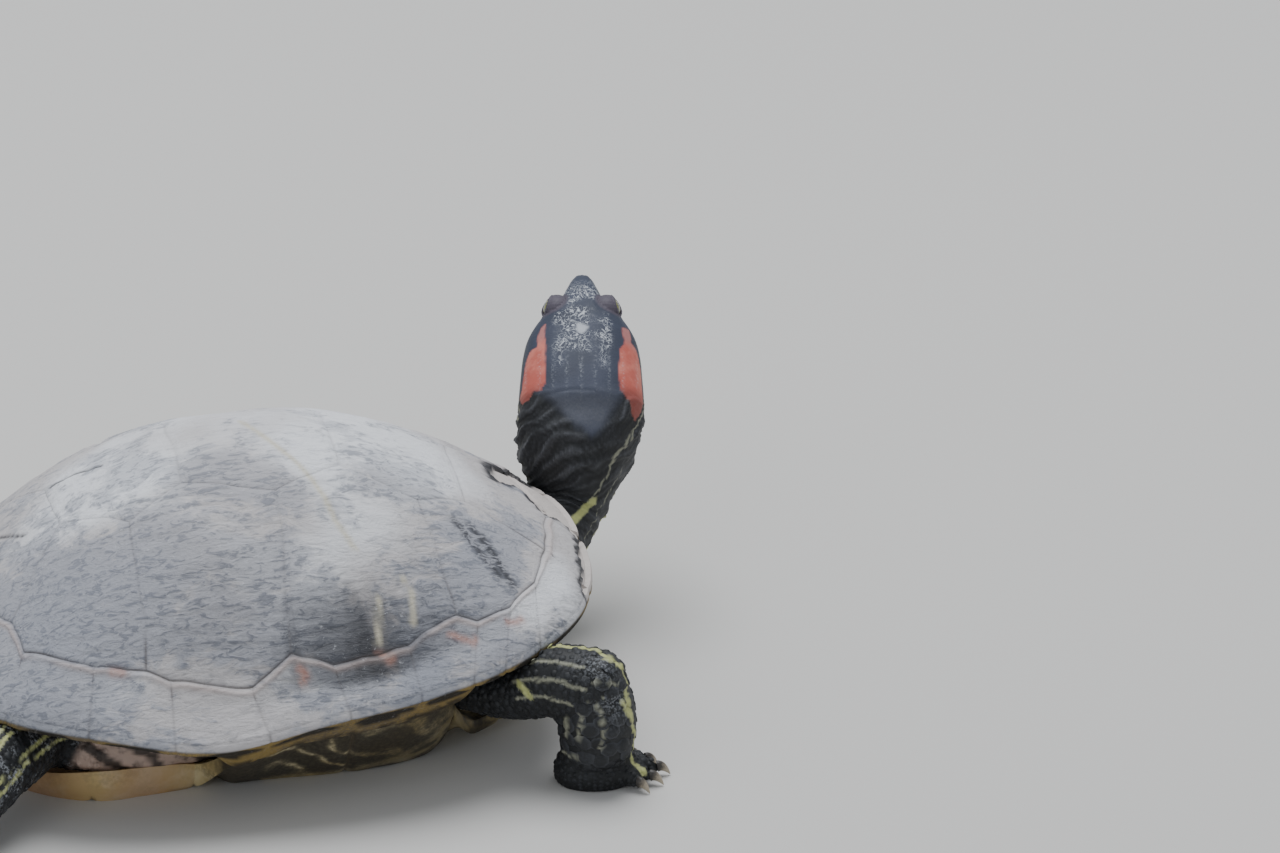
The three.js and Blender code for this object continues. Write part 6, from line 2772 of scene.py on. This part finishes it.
@dataclass
class SkinFinish(Finish):
    """Near-black leathery skin with pale stripes, red ear patches, a slate crown, painted
    highlights on the neck folds, a painted sheen on the big forearm plates and painted shade in the
    mouth slit.
    """

    name: str = "striped skin"
    dark: Colour = (0.011, 0.012, 0.013)
    worn: Colour = (0.060, 0.064, 0.075)
    crown: Colour = (0.052, 0.064, 0.106)
    crest: Colour = (0.150, 0.155, 0.175)
    lid: Colour = (0.095, 0.080, 0.105)
    red: Colour = (0.52, 0.115, 0.085)
    red_light: Colour = (0.66, 0.20, 0.15)
    red_pink: Colour = (0.36, 0.17, 0.17)
    red_dark: Colour = (0.23, 0.06, 0.05)
    stripe: Colour = (0.40, 0.40, 0.30)
    bright: Colour = (0.50, 0.52, 0.19)
    white: Colour = (0.60, 0.63, 0.68)
    pocket: Colour = (0.62, 0.46, 0.38)

    def build(self, graph: Graph) -> bpy.types.Material:
        """Wires the markings over the dark skin, under films of dried white dirt.

        Args:
            graph: the material's nodes.

        Returns:
            The material.
        """
        fine = graph.grain(0.0009, 4, 0.6)
        broad = graph.grain(0.012, 4, 0.6)
        curls = graph.grain(0.0046, 2.0, 0.5, bend=2.0)
        small = graph.grain(0.0027, 1.4, 0.5, bend=1.4)
        web = curls.near(0.5, 0.030).larger(small.near(0.46, 0.020)).step(0.0, 0.7)
        pocket, blush = graph.mark("pocket"), graph.mark("blush")
        red = graph.coats(
            self.red,
            (self.red_light, broad.step(0.4, 0.6)),
            (self.red_pink, blush * 0.75),
            (self.red_dark, blush * -0.85),
        )
        film = (web * graph.mark("cover").step(0.12, 0.80)).larger(graph.mark("blob") * 0.9)
        film = film.larger(graph.mark("dust") * fine.step(0.46, 0.62) * 0.8)
        colour = graph.coats(
            self.dark,
            (self.worn, (broad * 0.6 + fine * 0.4).step(0.45, 0.66) * 0.30),
            # each scale's own random tone, and a painted sheen on the edges of the big forearm
            # plates
            (self.worn, graph.mark("tone") * (0.15 + fine * 0.8)),
            (self.pocket, pocket * broad.step(0.30, 0.50) * 0.85),
            (self.dark, pocket * graph.mark("bars") * 0.85),
            (self.crown, graph.mark("crown") * (0.80 + (broad - 0.5) * 0.8)),
            # painted highlight on the neck's fold crests
            (self.crest, graph.mark("crest") * (0.18 + fine * 0.62)),
            (self.lid, graph.mark("lid") * 0.85),
            (self.stripe, graph.mark("pale") * (0.30 + fine * 0.7)),
            (self.bright, graph.mark("yellow") * (0.55 + fine * 0.6)),
            (red, graph.mark("red") * 0.96),
            (self.white, film * 0.85),
            # painted shade in the mouth slit
            (self.dark, graph.mark("mouth") * 0.8),
        )
        graph.relief(fine * 0.5 + broad * 0.2 + film * 0.25, 0.00028, 0.8)
        rough = 0.46 + fine * 0.20 + film * 0.25
        return graph.finish({"Base Color": colour, "Roughness": rough, "Specular IOR Level": 0.36})


@dataclass
class EyeFinish(Finish):
    """A wet eye: black pupil, yellow-green iris with a dark bar through it."""

    name: str = "eye"
    black: Colour = (0.004, 0.004, 0.005)
    iris: Colour = (0.42, 0.44, 0.06)
    iris_dark: Colour = (0.13, 0.15, 0.03)
    rim: Colour = (0.012, 0.012, 0.012)

    def build(self, graph: Graph) -> bpy.types.Material:
        """Wires pupil, bar and iris under a clear coat.

        Args:
            graph: the material's nodes.

        Returns:
            The material.
        """
        iris = graph.coats(
            self.iris_dark,
            (self.iris, graph.mark("rays").step(0.25, 0.7)),
            (self.black, graph.mark("bar") * 0.85),
        )
        colour = graph.coats(
            self.rim, (iris, graph.mark("iris")), (self.black, graph.mark("pupil"))
        )
        wet = {"Roughness": 0.25, "Coat Weight": 1.0, "Coat Roughness": 0.03}
        return graph.finish({"Base Color": colour, **wet})


@dataclass
class ClawFinish(Finish):
    """Dark horn that pales to the tip, with fine lengthwise grain."""

    name: str = "claw horn"
    root: Colour = (0.035, 0.03, 0.026)
    tip: Colour = (0.42, 0.36, 0.27)

    def build(self, graph: Graph) -> bpy.types.Material:
        """Wires root and tip colours.

        Args:
            graph: the material's nodes.

        Returns:
            The material.
        """
        grain = graph.grain(0.0007, 3, 0.6)
        share = (graph.mark("tip") + (grain - 0.5) * 0.5).step(0.15, 0.75)
        colour = graph.blend(self.root, self.tip, share)
        graph.relief(grain, 0.00012, 0.6)
        return graph.finish({"Base Color": colour, "Roughness": 0.35 + grain * 0.2})


@dataclass
class FloorFinish(Finish):
    """Plain pale studio floor."""

    name: str = "pale floor"
    paint: Colour = (0.62, 0.61, 0.59)

    def build(self, graph: Graph) -> bpy.types.Material:
        """Wires a faint grain into the plain colour."""
        grain = graph.grain(0.02, 3, 0.5)
        return graph.finish({"Base Color": self.paint, "Roughness": 0.75 + grain * 0.1})


# ---- stage


@dataclass
class Stage:
    """Floor, light and camera, in metres."""

    floor_size: float = 30.0
    eye: tuple = (-0.31008, -2.24090, 1.11451)
    right: tuple = (0.98041924, -0.1969216, 0.0)
    up: tuple = (0.08007953, 0.39869427, 0.91358095)
    back: tuple = (-0.17990382, -0.89569234, 0.40665692)
    lens: float = 200.0
    sensor: float = 36.0
    target: tuple = (0, 0, 0.05)
    lamps: tuple = (
        ("sky", (0.1, 0.6, 2.4), 2.0, 57.0, (0.965, 0.98, 1.0)),
        ("front", (-1.6, -1.9, 1.5), 1.6, 9.0, (0.94, 0.97, 1.0)),
    )
    surroundings: tuple = (0.86, 0.90, 0.95, 1.0)
    surroundings_power: float = 0.55

    def floor(self) -> None:
        """A wide pale plane at the floor's height."""
        half = self.floor_size / 2
        mesh = bpy.data.meshes.new("floor")
        square = [(-half, -half, 0), (half, -half, 0), (half, half, 0), (-half, half, 0)]
        mesh.from_pydata(square, [], [(0, 1, 2, 3)])
        mesh.materials.append(FloorFinish().material())
        floor = added("floor", mesh)

    def aim(self, item: bpy.types.Object, right: Point, up: Point, back: Point, at: Point) -> None:
        """Puts a lamp or a camera at a place, with its own three directions."""
        rows = [tuple(float(number) for number in row) for row in zip(right, up, back, at)]
        item.matrix_world = Matrix(rows + [(0, 0, 0, 1)])

    def lamp(self, name: str, at: Point, size: float, power: float, tint: Colour) -> None:
        """A large soft lamp at a place, turned to the target.

        Args:
            name: its name.
            at: its place.
            size: its width.
            power: its watts.
            tint: its colour.
        """
        light = bpy.data.lights.new(name, "AREA")
        light.shape, light.size, light.energy, light.color = "DISK", size, power, tint
        back = unit(np.array(at, float) - np.array(self.target, float))
        side = unit(np.cross((0.0, 1.0, 0.01), back))
        self.aim(added(name, light), side, np.cross(back, side), back, at)

    def build(self) -> None:
        """Sets the floor, the lights, the pale surroundings and the camera."""
        self.floor()
        for lamp in self.lamps:
            self.lamp(*lamp)
        world = bpy.data.worlds.new("studio")
        world.use_nodes = True
        background = world.node_tree.nodes["Background"]
        background.inputs["Color"].default_value = self.surroundings
        background.inputs["Strength"].default_value = self.surroundings_power
        bpy.context.scene.world = world
        lens = bpy.data.cameras.new("view")
        lens.lens, lens.sensor_width = self.lens, self.sensor
        lens.clip_start, lens.clip_end = 0.05, 100.0
        camera = added("view", lens)
        self.aim(camera, self.right, self.up, self.back, self.eye)
        bpy.context.scene.camera = camera


# ---- building


def main() -> None:
    """Builds the turtle part by part and writes how large it came out."""
    logging.basicConfig(level=logging.INFO, format="%(name)s %(message)s")
    studio = Studio()
    Carapace(ShellFinish()).build(studio)
    plastron = Plastron(BellyFinish())
    plastron.build(studio)
    hide = SkinFinish()
    body = Body(hide)
    Scales(hide, body).build(studio, body.build(studio, plastron))
    Eyes(EyeFinish()).build(studio)
    Claws(ClawFinish()).build(studio)
    Stage().build()


if __name__ == "__main__":
    main()
